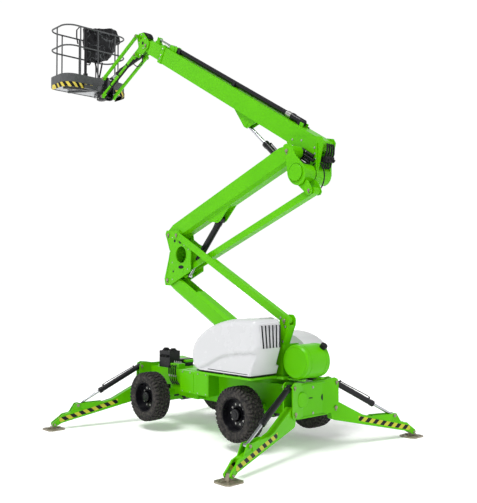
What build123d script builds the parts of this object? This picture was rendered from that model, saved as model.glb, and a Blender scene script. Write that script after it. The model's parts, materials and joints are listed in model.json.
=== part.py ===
from build123d import *
import os
from math import atan2, cos, degrees, hypot, radians, sin

# Articulated boom lift on four outriggers: riser of two stacked parallelograms, telescopic boom
# beside it, level jib and basket. Millimetres, +Z up, the basket end faces +X.
# The origin lies on the ground under the middle of the whole machine. Points in the side view are
# (x, z) pairs measured from the middle of the chassis, which sits CHASSIS_X from the origin.

# Driving dimensions
WHEELBASE = 2254
TRACK = 1590
TYRE_RADIUS = 415
TYRE_WIDTH = 300
WHEEL_HEIGHT = 563
KINGPIN_Y = 585
SPINE_HALF = 330
CHASSIS_END = 1875
SLEW_X = -950
FOOT_SIZE = 310
LEG_ROOT = (1850, 470, 620)
LEG_LEAN = 14
RISER_Y = 160
MAIN_Y = -170
BASKET_BACK, BASKET_FRONT = 4400, 5220
BASKET_LENGTH = 1570
BASKET_FLOOR = 6700
BASKET_RAIL = 7950
BOOM_RISE = 30.65
TELESCOPE_OUT = 4550

# Riser pivots: each parallelogram is a foot, its tie's foot and one vector that both arms share
LOWER_FOOT = (-1355, 1160)
LOWER_TIE_FOOT = (-1635, 1950)
LOWER_ARM = (2635, 1390)
LINK_FOOT = (1260, 3350)
UPPER_TIE_FOOT = (840, 2720)
UPPER_ARM = (-2900, 1140)
RISER_RAM_FOOT = (850, 2620)
RISER_RAM_EYE = (10, 3560)
MAIN_PIVOT = (-1930, 4600)
CROSS_TUBE = (-1832, 4140)
LUFF_FOOT = (-1580, 4010)
LUFF_EYE = (-312, 5140)
HEAD_PIVOT = (2540, 7160)
JIB_LOW, JIB_TOP = (2810, 7020), (2780, 7390)
JIB_ARM = (1190, -610)
ROTATOR_X = 4280

# Places across the machine: half widths from the middle of the riser
BOOM_HALF = 120
KNUCKLE_IN, KNUCKLE_OUT = 130, 148
TIE_IN, TIE_OUT = 154, 172
TOWER_IN, TOWER_OUT = 180, 198
PIN_GAP = 0.5


def plus(point, step):
    return (point[0] + step[0], point[1] + step[1])


LOWER_HEAD = plus(LOWER_FOOT, LOWER_ARM)
LOWER_TIE_HEAD = plus(LOWER_TIE_FOOT, LOWER_ARM)
LINK_HEAD = plus(LINK_FOOT, UPPER_ARM)
UPPER_TIE_HEAD = plus(UPPER_TIE_FOOT, UPPER_ARM)
PLATFORM_LOW = plus(JIB_LOW, JIB_ARM)
PLATFORM_TOP = plus(JIB_TOP, JIB_ARM)
LOWER_LENGTH = hypot(*LOWER_ARM)
UPPER_LENGTH = hypot(*UPPER_ARM)
JIB_LENGTH = hypot(*JIB_ARM)
LEG_DIRECTION = (sin(radians(LEG_LEAN)), cos(radians(LEG_LEAN)))
LEG_PIVOT = (1580, 90)
FOOT_EDGE = LEG_ROOT[0] + LEG_PIVOT[0] * LEG_DIRECTION[0] + FOOT_SIZE / 2
CHASSIS_X = (FOOT_EDGE - BASKET_FRONT) / 2


def side(y=0):
    """The upright plane y to the left of the middle, seen from the left with x forward."""
    return Plane(origin=(CHASSIS_X, y, 0), x_dir=(1, 0, 0), z_dir=(0, -1, 0))


def along(start, end, y=0):
    """The plane of side(y), moved to start and turned so that its x runs to end."""
    direction = (end[0] - start[0], 0, end[1] - start[1])
    return Plane(origin=(CHASSIS_X + start[0], y, start[1]), x_dir=direction, z_dir=(0, -1, 0))


def radial(sign_x, sign_y):
    """The upright plane of one outrigger: x runs outward from the root, y is the height."""
    out = Vector(sign_x * LEG_DIRECTION[0], sign_y * LEG_DIRECTION[1], 0)
    root = (CHASSIS_X + sign_x * LEG_ROOT[0], sign_y * LEG_ROOT[1], 0)
    return Plane(origin=root, x_dir=out, z_dir=out.cross(Vector(0, 0, 1)))


def ram_plane(plane, start, end):
    """A plane on a cylinder's line: its origin at start, its x toward end."""
    origin = plane.from_local_coords((start[0], start[1], 0))
    tip = plane.from_local_coords((end[0], end[1], 0))
    return Plane(origin=origin, x_dir=tip - origin, z_dir=plane.z_dir)


def slab(plane, points, near, far, mode=Mode.ADD):
    """An outline pulled from near to far along the plane's normal."""
    with BuildSketch(plane.offset(near)) as face:
        with BuildLine():
            Polyline(*points, close=True)
        make_face()
    extrude(face.sketch, amount=far - near, mode=mode)


def pair(plane, points, near, far):
    """Two equal plates, each side of the plane."""
    slab(plane, points, near, far)
    slab(plane, points, -far, -near)


def disc(plane, centre, radius, near, far, mode=Mode.ADD):
    with BuildSketch(plane.offset(near)) as face:
        with Locations(centre):
            Circle(radius)
    extrude(face.sketch, amount=far - near, mode=mode)


def disc_pair(plane, centre, radius, near, far, mode=Mode.ADD):
    disc(plane, centre, radius, near, far, mode)
    disc(plane, centre, radius, -far, -near, mode)


def block(low, high, mode=Mode.ADD):
    """A box between two corners measured from the middle of the chassis."""
    with BuildSketch(Plane.XY.offset(low[2])) as face:
        with Locations((CHASSIS_X + (low[0] + high[0]) / 2, (low[1] + high[1]) / 2)):
            Rectangle(high[0] - low[0], high[1] - low[1])
    extrude(face.sketch, amount=high[2] - low[2], mode=mode)


def rod(start, end, radius, inner=0, mode=Mode.ADD):
    """A round bar or tube between two points measured from the middle of the chassis."""
    first = Vector(CHASSIS_X + start[0], start[1], start[2])
    last = Vector(CHASSIS_X + end[0], end[1], end[2])
    with BuildSketch(Plane(origin=first, z_dir=last - first)) as face:
        Circle(radius)
        if inner:
            Circle(inner, mode=Mode.SUBTRACT)
    extrude(face.sketch, amount=(last - first).length, mode=mode)


def ram_barrel(line, length, radius, bore, eye, half, pin):
    """A cylinder's barrel on its line: an eye at the origin, a bore open at the far end."""
    start = line.from_local_coords((eye * 0.6, 0, 0))
    disc(line, (0, 0), eye, -half, half)
    with BuildSketch(Plane(origin=start, z_dir=line.x_dir)) as face:
        Circle(radius)
    extrude(face.sketch, amount=length - eye * 0.6)
    with BuildSketch(Plane(origin=line.from_local_coords((eye + 60, 0, 0)), z_dir=line.x_dir)) as hollow:
        Circle(bore + PIN_GAP)
    extrude(hollow.sketch, amount=length, mode=Mode.SUBTRACT)
    disc(line, (0, 0), pin + PIN_GAP, -half, half, Mode.SUBTRACT)


def ram_rod(line, reach, length, radius, eye, half):
    """A cylinder's rod, length long, that ends in an eye at reach along the line."""
    tail = line.from_local_coords((reach - length, 0, 0))
    with BuildSketch(Plane(origin=tail, z_dir=line.x_dir)) as face:
        Circle(radius)
    extrude(face.sketch, amount=length - eye * 0.6)
    disc(line, (reach, 0), eye, -half, half)
    disc(line, (reach, 0), eye * 0.55, -half, half, Mode.SUBTRACT)


def save(part, name):
    part.label = name
    export_step(part, f"parts/{name}.step")


os.makedirs("parts", exist_ok=True)

# Corners: name, forward sign, left sign
CORNERS = (("front_left", 1, 1), ("front_right", 1, -1), ("rear_left", -1, 1), ("rear_right", -1, -1))
AXLE_X = WHEELBASE / 2
WHEEL_Y = TRACK / 2

# Outriggers, in the upright plane of each: distance from the root and height
LEG_HALF = 60
LEG_RAM_FOOT = (20, 1000)
LEG_RAM_EYE = (1180, 385)
LEG_RAM_REACH = hypot(LEG_RAM_EYE[0] - LEG_RAM_FOOT[0], LEG_RAM_EYE[1] - LEG_RAM_FOOT[1])
LEG_RAM_RADIUS, LEG_ROD_RADIUS = 45, 22
LEG_PIN = 18
BRACKET_IN, BRACKET_OUT = 68, 86
ROOT = (0, LEG_ROOT[2])
LEG_OUTLINE = (
    (-60, 640), (-40, 700), (20, 720), (550, 450), (1120, 315), (1440, 250), (1500, 200),
    (1500, 100), (0, 420), (-45, 440), (-70, 560),
)
EAR_OUTLINE = ((1400, 140), (1420, 255), (1500, 200), (1612, 118), (1620, 84), (1600, 60), (1560, 55))
RAM_LUG = ((1060, 300), (1140, 415), (1180, 425), (1225, 415), (1320, 270), (1180, 250))
BRACKET_OUTLINE = (
    (-300, 560), (-300, 1030), (-120, 1060), (-10, 1070), (45, 1045), (60, 990), (60, 700),
    (75, 620), (50, 565), (0, 548), (-120, 540),
)

with BuildPart() as chassis:
    block((-CHASSIS_END + 25, -SPINE_HALF, 560), (CHASSIS_END - 25, SPINE_HALF, 1000))
    for end in (-1, 1):
        low, high = sorted((end * (CHASSIS_END - 25), end * CHASSIS_END))
        block((low, -345, 520), (high, 345, 1040))
        block(
            (end * AXLE_X - 75, -500, WHEEL_HEIGHT - 100), (end * AXLE_X + 75, 500, WHEEL_HEIGHT + 100)
        )
    block((-130, -550, 670), (610, 550, 1040))
    block((-130, -430, 1000), (610, 430, 1046))
    with BuildSketch(Plane.XY.offset(990)) as ring:
        with Locations((CHASSIS_X + SLEW_X, 0)):
            Circle(450)
            Circle(380, mode=Mode.SUBTRACT)
    extrude(ring.sketch, amount=95)
    for corner, sign_x, sign_y in CORNERS:
        plane = radial(sign_x, sign_y)
        pair(plane, BRACKET_OUTLINE, BRACKET_IN, BRACKET_OUT)
        disc(plane, ROOT, LEG_PIN + 4, -BRACKET_OUT - 10, BRACKET_OUT + 10)
        disc(plane, LEG_RAM_FOOT, LEG_PIN, -BRACKET_OUT - 8, BRACKET_OUT + 8)
        low, high = sorted((sign_y * 440, sign_y * KINGPIN_Y))
        for level in (WHEEL_HEIGHT - 100, WHEEL_HEIGHT + 80):
            block((sign_x * AXLE_X - 40, low, level), (sign_x * AXLE_X + 40, high, level + 20))
            with BuildSketch(Plane.XY.offset(level)) as yoke:
                with Locations((CHASSIS_X + sign_x * AXLE_X, sign_y * KINGPIN_Y)):
                    Circle(40)
            extrude(yoke.sketch, amount=20)
        rod(
            (sign_x * AXLE_X, sign_y * KINGPIN_Y, WHEEL_HEIGHT - 108),
            (sign_x * AXLE_X, sign_y * KINGPIN_Y, WHEEL_HEIGHT + 108), 18,
        )
save(chassis.part, "chassis_frame")

with BuildPart() as boom_rest:
    block((1200, 90, 1000.5), (1500, 320, 1290))
    block((1230, -240, 1000.5), (1460, 100, 1130))
save(boom_rest.part, "boom_rest")

for corner, sign_x, sign_y in CORNERS:
    plane = radial(sign_x, sign_y)
    line = ram_plane(plane, LEG_RAM_FOOT, LEG_RAM_EYE)
    with BuildPart() as leg:
        slab(plane, LEG_OUTLINE, -LEG_HALF, LEG_HALF)
        slab(plane, ((1380, 60), (1380, 300), (1640, 300), (1640, 40)), -34, 34, Mode.SUBTRACT)
        pair(plane, EAR_OUTLINE, 34, LEG_HALF)
        pair(plane, RAM_LUG, 38, 54)
        disc_pair(plane, LEG_RAM_EYE, 30, 38, 66)
        disc(plane, LEG_PIVOT, 14, -LEG_HALF - 8, LEG_HALF + 8)
        disc(plane, ROOT, LEG_PIN + 4 + PIN_GAP, -LEG_HALF, LEG_HALF, Mode.SUBTRACT)
    save(leg.part, f"leg_{corner}")

    with BuildPart() as foot:
        half = FOOT_SIZE / 2
        pad_centre = plane.from_local_coords((LEG_PIVOT[0], 0, 0))
        with BuildSketch(Plane.XY) as pad:
            with Locations((pad_centre.X, pad_centre.Y)):
                Rectangle(FOOT_SIZE, FOOT_SIZE)
            chamfer(pad.vertices(), 45)
        extrude(pad.sketch, amount=20)
        slab(plane, ((1530, 20), (1553, 95), (1607, 95), (1630, 20)), -28, 28)
        disc(plane, LEG_PIVOT, 28, -28, 28)
        disc(plane, LEG_PIVOT, 14 + PIN_GAP, -28, 28, Mode.SUBTRACT)
    save(foot.part, f"foot_{corner}")

    with BuildPart() as leg_barrel:
        ram_barrel(line, 850, LEG_RAM_RADIUS, LEG_ROD_RADIUS, 38, 32, LEG_PIN)
    save(leg_barrel.part, f"leg_barrel_{corner}")

    with BuildPart() as leg_rod:
        ram_rod(line, LEG_RAM_REACH, 820, LEG_ROD_RADIUS, 34, 30)
    save(leg_rod.part, f"leg_rod_{corner}")

# Wheels: knuckle on its kingpin, black rim, tyre
RIM_RADIUS = 250
TREAD_WIDTH = 230
LUGS = 20
LUG_DEPTH = 22
TREAD = [
    (radius * cos(radians(turn)), radius * sin(radians(turn)))
    for lug in range(LUGS)
    for radius, turn in (
        (TYRE_RADIUS, 360 * lug / LUGS), (TYRE_RADIUS, 360 * (lug + 0.55) / LUGS),
        (TYRE_RADIUS - LUG_DEPTH, 360 * (lug + 0.6) / LUGS),
        (TYRE_RADIUS - LUG_DEPTH, 360 * (lug + 0.95) / LUGS),
    )
]
SHOULDER = [
    (385 * cos(radians(turn)), 385 * sin(radians(turn))) for turn in range(0, 360, 360 // (2 * LUGS))
]
for corner, sign_x, sign_y in CORNERS:
    hub = Plane(
        origin=(CHASSIS_X + sign_x * AXLE_X, 0, WHEEL_HEIGHT), x_dir=(1, 0, 0), z_dir=(0, sign_y, 0)
    )
    with BuildPart() as knuckle:
        block(
            (sign_x * AXLE_X - 50, sign_y * KINGPIN_Y - 55, WHEEL_HEIGHT - 74),
            (sign_x * AXLE_X + 50, sign_y * KINGPIN_Y + 55, WHEEL_HEIGHT + 74),
        )
        disc(hub, (0, 0), 110, KINGPIN_Y + 45, KINGPIN_Y + 60)
        rod(
            (sign_x * AXLE_X, sign_y * KINGPIN_Y, WHEEL_HEIGHT - 90),
            (sign_x * AXLE_X, sign_y * KINGPIN_Y, WHEEL_HEIGHT + 90), 18 + PIN_GAP,
            mode=Mode.SUBTRACT,
        )
    save(knuckle.part, f"steering_knuckle_{corner}")

    with BuildPart() as rim:
        disc(hub, (0, 0), RIM_RADIUS, WHEEL_Y - 125, WHEEL_Y + 125)
        disc(hub, (0, 0), RIM_RADIUS - 12, WHEEL_Y + 20, WHEEL_Y + 125, Mode.SUBTRACT)
        disc(hub, (0, 0), 150, WHEEL_Y - 125, WHEEL_Y - 40, Mode.SUBTRACT)
        disc(hub, (0, 0), 105, KINGPIN_Y + 66, WHEEL_Y + 60)
        disc(hub, (0, 0), 80, WHEEL_Y + 60, WHEEL_Y + 95)
    save(rim.part, f"rim_{corner}")

    with BuildPart() as tyre:
        slab(hub, TREAD, WHEEL_Y - TREAD_WIDTH / 2, WHEEL_Y + TREAD_WIDTH / 2)
        for near, far in (
            (WHEEL_Y - TYRE_WIDTH / 2, WHEEL_Y - TREAD_WIDTH / 2),
            (WHEEL_Y + TREAD_WIDTH / 2, WHEEL_Y + TYRE_WIDTH / 2),
        ):
            slab(hub, SHOULDER, near, far)
        disc(
            hub, (0, 0), RIM_RADIUS + 0.3, WHEEL_Y - TYRE_WIDTH / 2, WHEEL_Y + TYRE_WIDTH / 2,
            Mode.SUBTRACT,
        )
    save(tyre.part, f"tyre_{corner}")

# Turntable: deck on the slew ring, tower plates, side trays, tank bracket
RISER = side(RISER_Y)
MAIN = side(MAIN_Y)
DECK_LOW, DECK_HIGH = 1090, 1130
FOOT_PIN, TIE_PIN, MAIN_PIN, JIB_PIN = 25, 22, 30, 20
TANK = (-1880, 1360)
TANK_RADIUS = 250
COWL_LOW = 1172
COWL_IN, COWL_OUT = 450, 1000
TOWER_OUTLINE = (
    (-1600, 1100), (-1600, 1600), (-1725, 1890), (-1728, 1980), (-1680, 2035), (-1595, 2038),
    (-1545, 1980), (-1500, 1800), (-1260, 1450), (-1180, 1300), (-1180, 1100),
)
TOWER_INNER = (
    (-1600, 1100), (-1600, 1600), (-1725, 1890), (-1728, 1980), (-1680, 2035), (-1595, 2038),
    (-1545, 1980), (-1510, 1840), (-1560, 1600), (-1560, 1100),
)
TOWER_FAR = ((-1600, 1100), (-1600, 1330), (-1420, 1260), (-1290, 1230), (-1180, 1200), (-1180, 1100))

with BuildPart() as turntable:
    with BuildSketch(Plane.XY.offset(DECK_LOW)) as deck:
        with Locations((CHASSIS_X + SLEW_X, 0)):
            Circle(480)
            Rectangle(1480, 880)
        with Locations((CHASSIS_X - 1140, RISER_Y)):
            Rectangle(600, 2 * BOOM_HALF + 30, mode=Mode.SUBTRACT)
    extrude(deck.sketch, amount=DECK_HIGH - DECK_LOW)
    for sign in (-1, 1):
        low, high = sorted((sign * 430, sign * 980))
        block((-1560 if sign > 0 else -1330, low, 1110), (-300, high, 1140))
        for x in (-1300, -950, -400):
            low, high = sorted((sign * 470, sign * 960))
            block((x - 25, low, 1140), (x + 25, high, COWL_LOW - 6))
        low, high = sorted((sign * 200, sign * 260))
        low, high = sorted((sign * 60, sign * 130)) if sign < 0 else (280, 350)
        block((-1990, low, 1085), (-1600, high, 1108))
    slab(RISER, TOWER_OUTLINE, -TOWER_OUT, -TOWER_IN)
    slab(RISER, TOWER_INNER, -TOWER_IN + 117, -TOWER_IN + 135)
    slab(RISER, TOWER_FAR, TOWER_IN - 30, TOWER_OUT - 30)
    slab(RISER, ((-1600, 1100), (-1600, 1600), (-1580, 1600), (-1580, 1100)), -TOWER_IN, TOWER_IN - 30)
    slab(RISER, ((-1600, 1590), (-1715, 1880), (-1695, 1890), (-1580, 1600)), -TOWER_IN, -TOWER_IN + 117)
    disc(RISER, LOWER_FOOT, FOOT_PIN, -TOWER_OUT - 8, TOWER_OUT - 22)
    disc(RISER, LOWER_FOOT, 45, -TOWER_IN, -BOOM_HALF - 8)
    disc(RISER, LOWER_FOOT, 45, BOOM_HALF + 8, TOWER_IN - 30)
    disc(RISER, LOWER_TIE_FOOT, TIE_PIN, -TOWER_OUT - 8, -TOWER_IN + 135)
save(turntable.part, "turntable_frame")

COWL_OUTLINE = (
    (-1570, COWL_LOW), (-1680, 1330), (-1680, 1950), (-1600, 1985), (-1300, 1972), (-840, 1852),
    (-440, 1610), (-300, 1330), (-250, COWL_LOW),
)
LOW_COWL_OUTLINE = (
    (-1335, COWL_LOW), (-1360, 1260), (-1350, 1540), (-1260, 1585), (-900, 1580), (-620, 1500),
    (-440, 1440), (-320, 1300), (-250, COWL_LOW),
)
for name, sign, outline in (
    ("cowl_left", 1, COWL_OUTLINE), ("cowl_right", -1, LOW_COWL_OUTLINE),
):
    with BuildPart() as cowl:
        with BuildSketch(side(sign * (COWL_IN + COWL_OUT) / 2)) as face:
            with BuildLine():
                Polyline(*outline, close=True)
            make_face()
            fillet(face.vertices().filter_by(lambda v: v.Z > 1420), 60)
        width = COWL_OUT - COWL_IN
        extrude(face.sketch, amount=width / 2, both=True)
        outer = cowl.faces().sort_by(Axis.Y)[-1 if sign > 0 else 0]
        fillet(outer.edges().filter_by(lambda e: e.center().Z > COWL_LOW + 5), 60)
        with BuildSketch(side(sign * (COWL_IN + COWL_OUT) / 2)) as inside:
            with BuildLine():
                Polyline(*outline, close=True)
            make_face()
            offset(amount=-14, kind=Kind.INTERSECTION, mode=Mode.REPLACE)
        extrude(inside.sketch, amount=width / 2 - 62, both=True, mode=Mode.SUBTRACT)
        block(
            (outline[0][0] + 40, min(sign * 512, sign * 938), COWL_LOW - 5),
            (-290, max(sign * 512, sign * 938), COWL_LOW + 30), Mode.SUBTRACT,
        )
    save(cowl.part, name)

with BuildPart() as engine:
    block((-1480, 540, COWL_LOW - 6), (-700, 900, 1700))
save(engine.part, "engine_block")

with BuildPart() as tank:
    disc(side(), TANK, TANK_RADIUS, -400, 125)
    chamfer(tank.edges().filter_by(GeomType.CIRCLE), 30)
    rod((-2010, -30, 1520), (-2058, -30, 1572), 45)
save(tank.part, "tank")

# Lower arm: boom and its tie, a parallelogram between tower and knuckle
lower_line = along(LOWER_FOOT, LOWER_HEAD, RISER_Y)
with BuildPart() as lower_boom:
    slab(
        lower_line,
        (
            (0, 70), (300, 180), (LOWER_LENGTH - 220, 180), (LOWER_LENGTH, 92),
            (LOWER_LENGTH, -92), (LOWER_LENGTH - 180, -110), (400, -110), (0, -70),
        ),
        -BOOM_HALF, BOOM_HALF,
    )
    long_edges = lower_boom.edges().filter_by(Axis(lower_line.origin, lower_line.x_dir))
    chamfer(long_edges, 45)
    disc(lower_line, (0, 0), 68, -BOOM_HALF, BOOM_HALF)
    disc(lower_line, (LOWER_LENGTH, 0), 92, -BOOM_HALF, BOOM_HALF)
    slab(
        lower_line,
        (
            (LOWER_LENGTH - 760, 50), (LOWER_LENGTH - 760, 200),
            (LOWER_LENGTH - 60, 200), (LOWER_LENGTH - 60, 50),
        ),
        -BOOM_HALF + 28, BOOM_HALF - 28, Mode.SUBTRACT,
    )
    disc(lower_line, (0, 0), FOOT_PIN + PIN_GAP, -BOOM_HALF, BOOM_HALF, Mode.SUBTRACT)
    disc(lower_line, (LOWER_LENGTH, 0), FOOT_PIN + PIN_GAP, -BOOM_HALF, BOOM_HALF, Mode.SUBTRACT)
save(lower_boom.part, "lower_boom")

tie_line = along(LOWER_TIE_FOOT, LOWER_TIE_HEAD, RISER_Y)
TIE_BOX_END = 1820
with BuildPart() as lower_tie:
    slab(
        tie_line,
        (
            (0, -60), (0, 60), (TIE_BOX_END + 100, 60), (TIE_BOX_END, -60),
        ),
        -TIE_OUT, -TIE_IN + 72,
    )
    slab(tie_line, ((0, -60), (0, 60), (LOWER_LENGTH, 60), (LOWER_LENGTH, -60)), -TIE_OUT, -TIE_IN)
    for reach, far in ((0, -TIE_IN + 72), (LOWER_LENGTH, -TIE_IN)):
        disc(tie_line, (reach, 0), 60, -TIE_OUT, far)
        disc(tie_line, (reach, 0), TIE_PIN + PIN_GAP, -TIE_OUT, far, Mode.SUBTRACT)
save(lower_tie.part, "lower_tie")

# Middle knuckle: two plates that both parallelograms keep level
KNUCKLE_OUTLINE = (
    (1320, 3432), (1352, 3370), (1210, 3060), (1375, 2570), (1345, 2455), (1230, 2450),
    (640, 2700), (630, 3130), (760, 3180), (900, 3260),
    (922, 3370), (975, 3420),
)
KNUCKLE_WEB = ((1275, 2690), (1255, 2690), (1175, 3050), (1245, 3228), (1262, 3222), (1196, 3052))
FOOT_LUG = ((860, 2584), (838, 2656), (1228, 2850), (1250, 2766))
with BuildPart() as mid_knuckle:
    pair(RISER, KNUCKLE_OUTLINE, KNUCKLE_IN, KNUCKLE_OUT)
    slab(RISER, KNUCKLE_WEB, -KNUCKLE_IN, KNUCKLE_IN)
    disc(RISER, (900, 2990), 145, -KNUCKLE_OUT, -KNUCKLE_IN, Mode.SUBTRACT)
    disc(RISER, LOWER_HEAD, FOOT_PIN, -KNUCKLE_OUT - 6, KNUCKLE_OUT + 6)
    disc(RISER, LINK_FOOT, FOOT_PIN, -KNUCKLE_OUT - 6, KNUCKLE_OUT + 6)
    pair(RISER, FOOT_LUG, 74, 86)
    disc_pair(RISER, RISER_RAM_FOOT, 38, 74, 86)
    disc_pair(RISER, RISER_RAM_FOOT, JIB_PIN, 44, 86)
    disc_pair(RISER, UPPER_TIE_FOOT, TIE_PIN, 57, KNUCKLE_OUT + 6)
    disc(RISER, LOWER_TIE_HEAD, TIE_PIN, -TIE_OUT - 8, -KNUCKLE_OUT)
save(mid_knuckle.part, "mid_knuckle")

riser_ram = along(RISER_RAM_EYE, RISER_RAM_FOOT, RISER_Y)
RISER_RAM_REACH = hypot(
    RISER_RAM_EYE[0] - RISER_RAM_FOOT[0], RISER_RAM_EYE[1] - RISER_RAM_FOOT[1]
)
with BuildPart() as riser_barrel:
    ram_barrel(riser_ram, 880, 54, 28, 54, 45, JIB_PIN)
save(riser_barrel.part, "riser_barrel")
with BuildPart() as riser_rod:
    ram_rod(riser_ram, RISER_RAM_REACH, 900, 28, 36, 38)
save(riser_rod.part, "riser_rod")

# Upper arm: link boom with the cylinder's gusset beneath, and its tie
link_line = along(LINK_HEAD, LINK_FOOT, RISER_Y)
riser_eye = link_line.to_local_coords(Vector(CHASSIS_X + RISER_RAM_EYE[0], RISER_Y, RISER_RAM_EYE[1]))
with BuildPart() as link_boom:
    slab(
        link_line,
        (
            (0, 90), (150, 130), (UPPER_LENGTH - 150, 130), (UPPER_LENGTH, 90),
            (UPPER_LENGTH, -92), (UPPER_LENGTH - 200, -170), (150, -170), (0, -92),
        ),
        -BOOM_HALF, BOOM_HALF,
    )
    long_edges = link_boom.edges().filter_by(Axis(link_line.origin, link_line.x_dir))
    chamfer(long_edges.sort_by(Axis.Z)[:2], 50)
    for reach in (0, UPPER_LENGTH):
        disc(link_line, (reach, 0), 92, -BOOM_HALF, BOOM_HALF)
        disc(link_line, (reach, 0), FOOT_PIN + PIN_GAP, -BOOM_HALF, BOOM_HALF, Mode.SUBTRACT)
    pair(
        link_line,
        (
            (riser_eye.X - 380, -160), (riser_eye.X - 40, riser_eye.Y - 45),
            (riser_eye.X + 40, riser_eye.Y - 45), (riser_eye.X + 280, -160),
        ),
        60, 76,
    )
    disc(link_line, (riser_eye.X, riser_eye.Y), JIB_PIN, -84, 84)
save(link_boom.part, "link_boom")

upper_tie_line = along(UPPER_TIE_HEAD, UPPER_TIE_FOOT, RISER_Y)
with BuildPart() as upper_tie:
    slab(upper_tie_line, ((0, -55), (0, 55), (2516, 55), (2516, -55)), -60, 60)
    disc(upper_tie_line, (0, 0), 55, -60, 60)
    disc(upper_tie_line, (0, 0), TIE_PIN + PIN_GAP, -60, 60, Mode.SUBTRACT)
    pair(
        upper_tie_line, ((2350, -50), (2350, 50), (UPPER_LENGTH, 48), (UPPER_LENGTH, -48)), 60, 76
    )
    disc_pair(upper_tie_line, (UPPER_LENGTH, 0), 48, 60, 76)
    disc_pair(upper_tie_line, (UPPER_LENGTH, 0), TIE_PIN + PIN_GAP, 60, 76, Mode.SUBTRACT)
save(upper_tie.part, "upper_tie")

# Top knuckle: cheeks of the riser and cheeks of the main boom, side by side on one cross tube
LINK_CHEEK = (
    (-1600, 4592), (-1540, 4550), (-1536, 4440), (-1590, 4230), (-1690, 4040), (-1990, 3805),
    (-2045, 3795), (-2105, 3825), (-2125, 3890), (-2000, 4150), (-1960, 4330), (-1790, 4560),
    (-1720, 4594),
)
MAIN_CHEEK = (
    (-2080, 4620), (-2040, 4690), (-1930, 4712), (-1380, 4790), (-1320, 4750), (-1340, 4660),
    (-1600, 4280), (-1680, 4080), (-1750, 4005), (-1860, 3988), (-1950, 4050), (-1965, 4170),
)
CHEEK_WINDOW = ((-1400, 4670), (-1550, 4590), (-1900, 4330), (-1880, 4290), (-1650, 4360))
RAM_LUG_UNDER = ((-1830, 4080), (-1640, 4070), (-1560, 4055), (-1535, 4010), (-1560, 3965), (-1800, 3985))
with BuildPart() as top_knuckle:
    pair(RISER, LINK_CHEEK, KNUCKLE_IN, KNUCKLE_OUT)
    pair(MAIN, MAIN_CHEEK, 127, 145)
    slab(MAIN, CHEEK_WINDOW, -145, -127, Mode.SUBTRACT)
    disc(side(), CROSS_TUBE, 145, -RISER_Y - KNUCKLE_OUT - 10, -MAIN_Y + 155)
    pair(MAIN, RAM_LUG_UNDER, 63, 79)
    disc(MAIN, LUFF_FOOT, JIB_PIN, -84, 84)
    disc(MAIN, MAIN_PIVOT, MAIN_PIN, -152, 152)
    disc(RISER, LINK_HEAD, FOOT_PIN, -KNUCKLE_OUT - 6, KNUCKLE_OUT + 6)
    disc(RISER, UPPER_TIE_HEAD, TIE_PIN, -KNUCKLE_OUT - 6, KNUCKLE_OUT + 6)
save(top_knuckle.part, "top_knuckle")

luff_ram = along(LUFF_FOOT, LUFF_EYE, MAIN_Y)
LUFF_REACH = hypot(LUFF_EYE[0] - LUFF_FOOT[0], LUFF_EYE[1] - LUFF_FOOT[1])
with BuildPart() as luff_barrel:
    ram_barrel(luff_ram, 1150, 55, 30, 42, 50, JIB_PIN)
save(luff_barrel.part, "luff_barrel")
with BuildPart() as luff_rod:
    ram_rod(luff_ram, LUFF_REACH, 1180, 30, 34, 36)
save(luff_rod.part, "luff_rod")

# Telescopic boom: hollow outer section, inner section with its nose, extension cylinder on top
RISE = (cos(radians(BOOM_RISE)), sin(radians(BOOM_RISE)))
main_line = along(MAIN_PIVOT, plus(MAIN_PIVOT, RISE), MAIN_Y)
luff_eye = main_line.to_local_coords(Vector(CHASSIS_X + LUFF_EYE[0], MAIN_Y, LUFF_EYE[1]))
head_pivot = main_line.to_local_coords(Vector(CHASSIS_X + HEAD_PIVOT[0], MAIN_Y, HEAD_PIVOT[1]))
OUTER_TOP, OUTER_BOTTOM = 90, -215
EXTENSION_HEIGHT = 145
EXTENSION_RADIUS, EXTENSION_ROD = 42, 25
with BuildPart() as main_boom:
    slab(
        main_line,
        (
            (-120, -60), (-120, 50), (-80, OUTER_TOP), (TELESCOPE_OUT, OUTER_TOP),
            (TELESCOPE_OUT, OUTER_BOTTOM), (150, OUTER_BOTTOM),
        ),
        -BOOM_HALF, BOOM_HALF,
    )
    slab(
        main_line, ((4440, -227), (4440, 102), (TELESCOPE_OUT, 102), (TELESCOPE_OUT, -227)),
        -BOOM_HALF - 12, BOOM_HALF + 12,
    )
    slab(
        main_line, ((250, -201), (250, 76), (TELESCOPE_OUT, 76), (TELESCOPE_OUT, -201)),
        -BOOM_HALF + 14, BOOM_HALF - 14, Mode.SUBTRACT,
    )
    pair(
        main_line,
        (
            (1450, OUTER_BOTTOM + 5), (luff_eye.X - 40, luff_eye.Y - 42),
            (luff_eye.X + 40, luff_eye.Y - 42), (2130, OUTER_BOTTOM + 5),
        ),
        44, 60,
    )
    disc_pair(main_line, (luff_eye.X, luff_eye.Y), 28, 44, 70)
    disc(main_line, (0, 0), MAIN_PIN + PIN_GAP, -BOOM_HALF, BOOM_HALF, Mode.SUBTRACT)
save(main_boom.part, "main_boom")

with BuildPart() as inner_boom:
    slab(main_line, ((300, -195), (300, 70), (4980, 70), (4980, -195)), -100, 100)
    slab(
        main_line,
        ((4960, 70), (5080, 30), (head_pivot.X, head_pivot.Y + 100), (head_pivot.X, head_pivot.Y - 100),
         (4960, -195)),
        -60, 60,
    )
    disc(main_line, (head_pivot.X, head_pivot.Y), 100, -60, 60)
    disc(main_line, (head_pivot.X, head_pivot.Y), FOOT_PIN + PIN_GAP, -60, 60, Mode.SUBTRACT)
save(inner_boom.part, "inner_boom")

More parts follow.
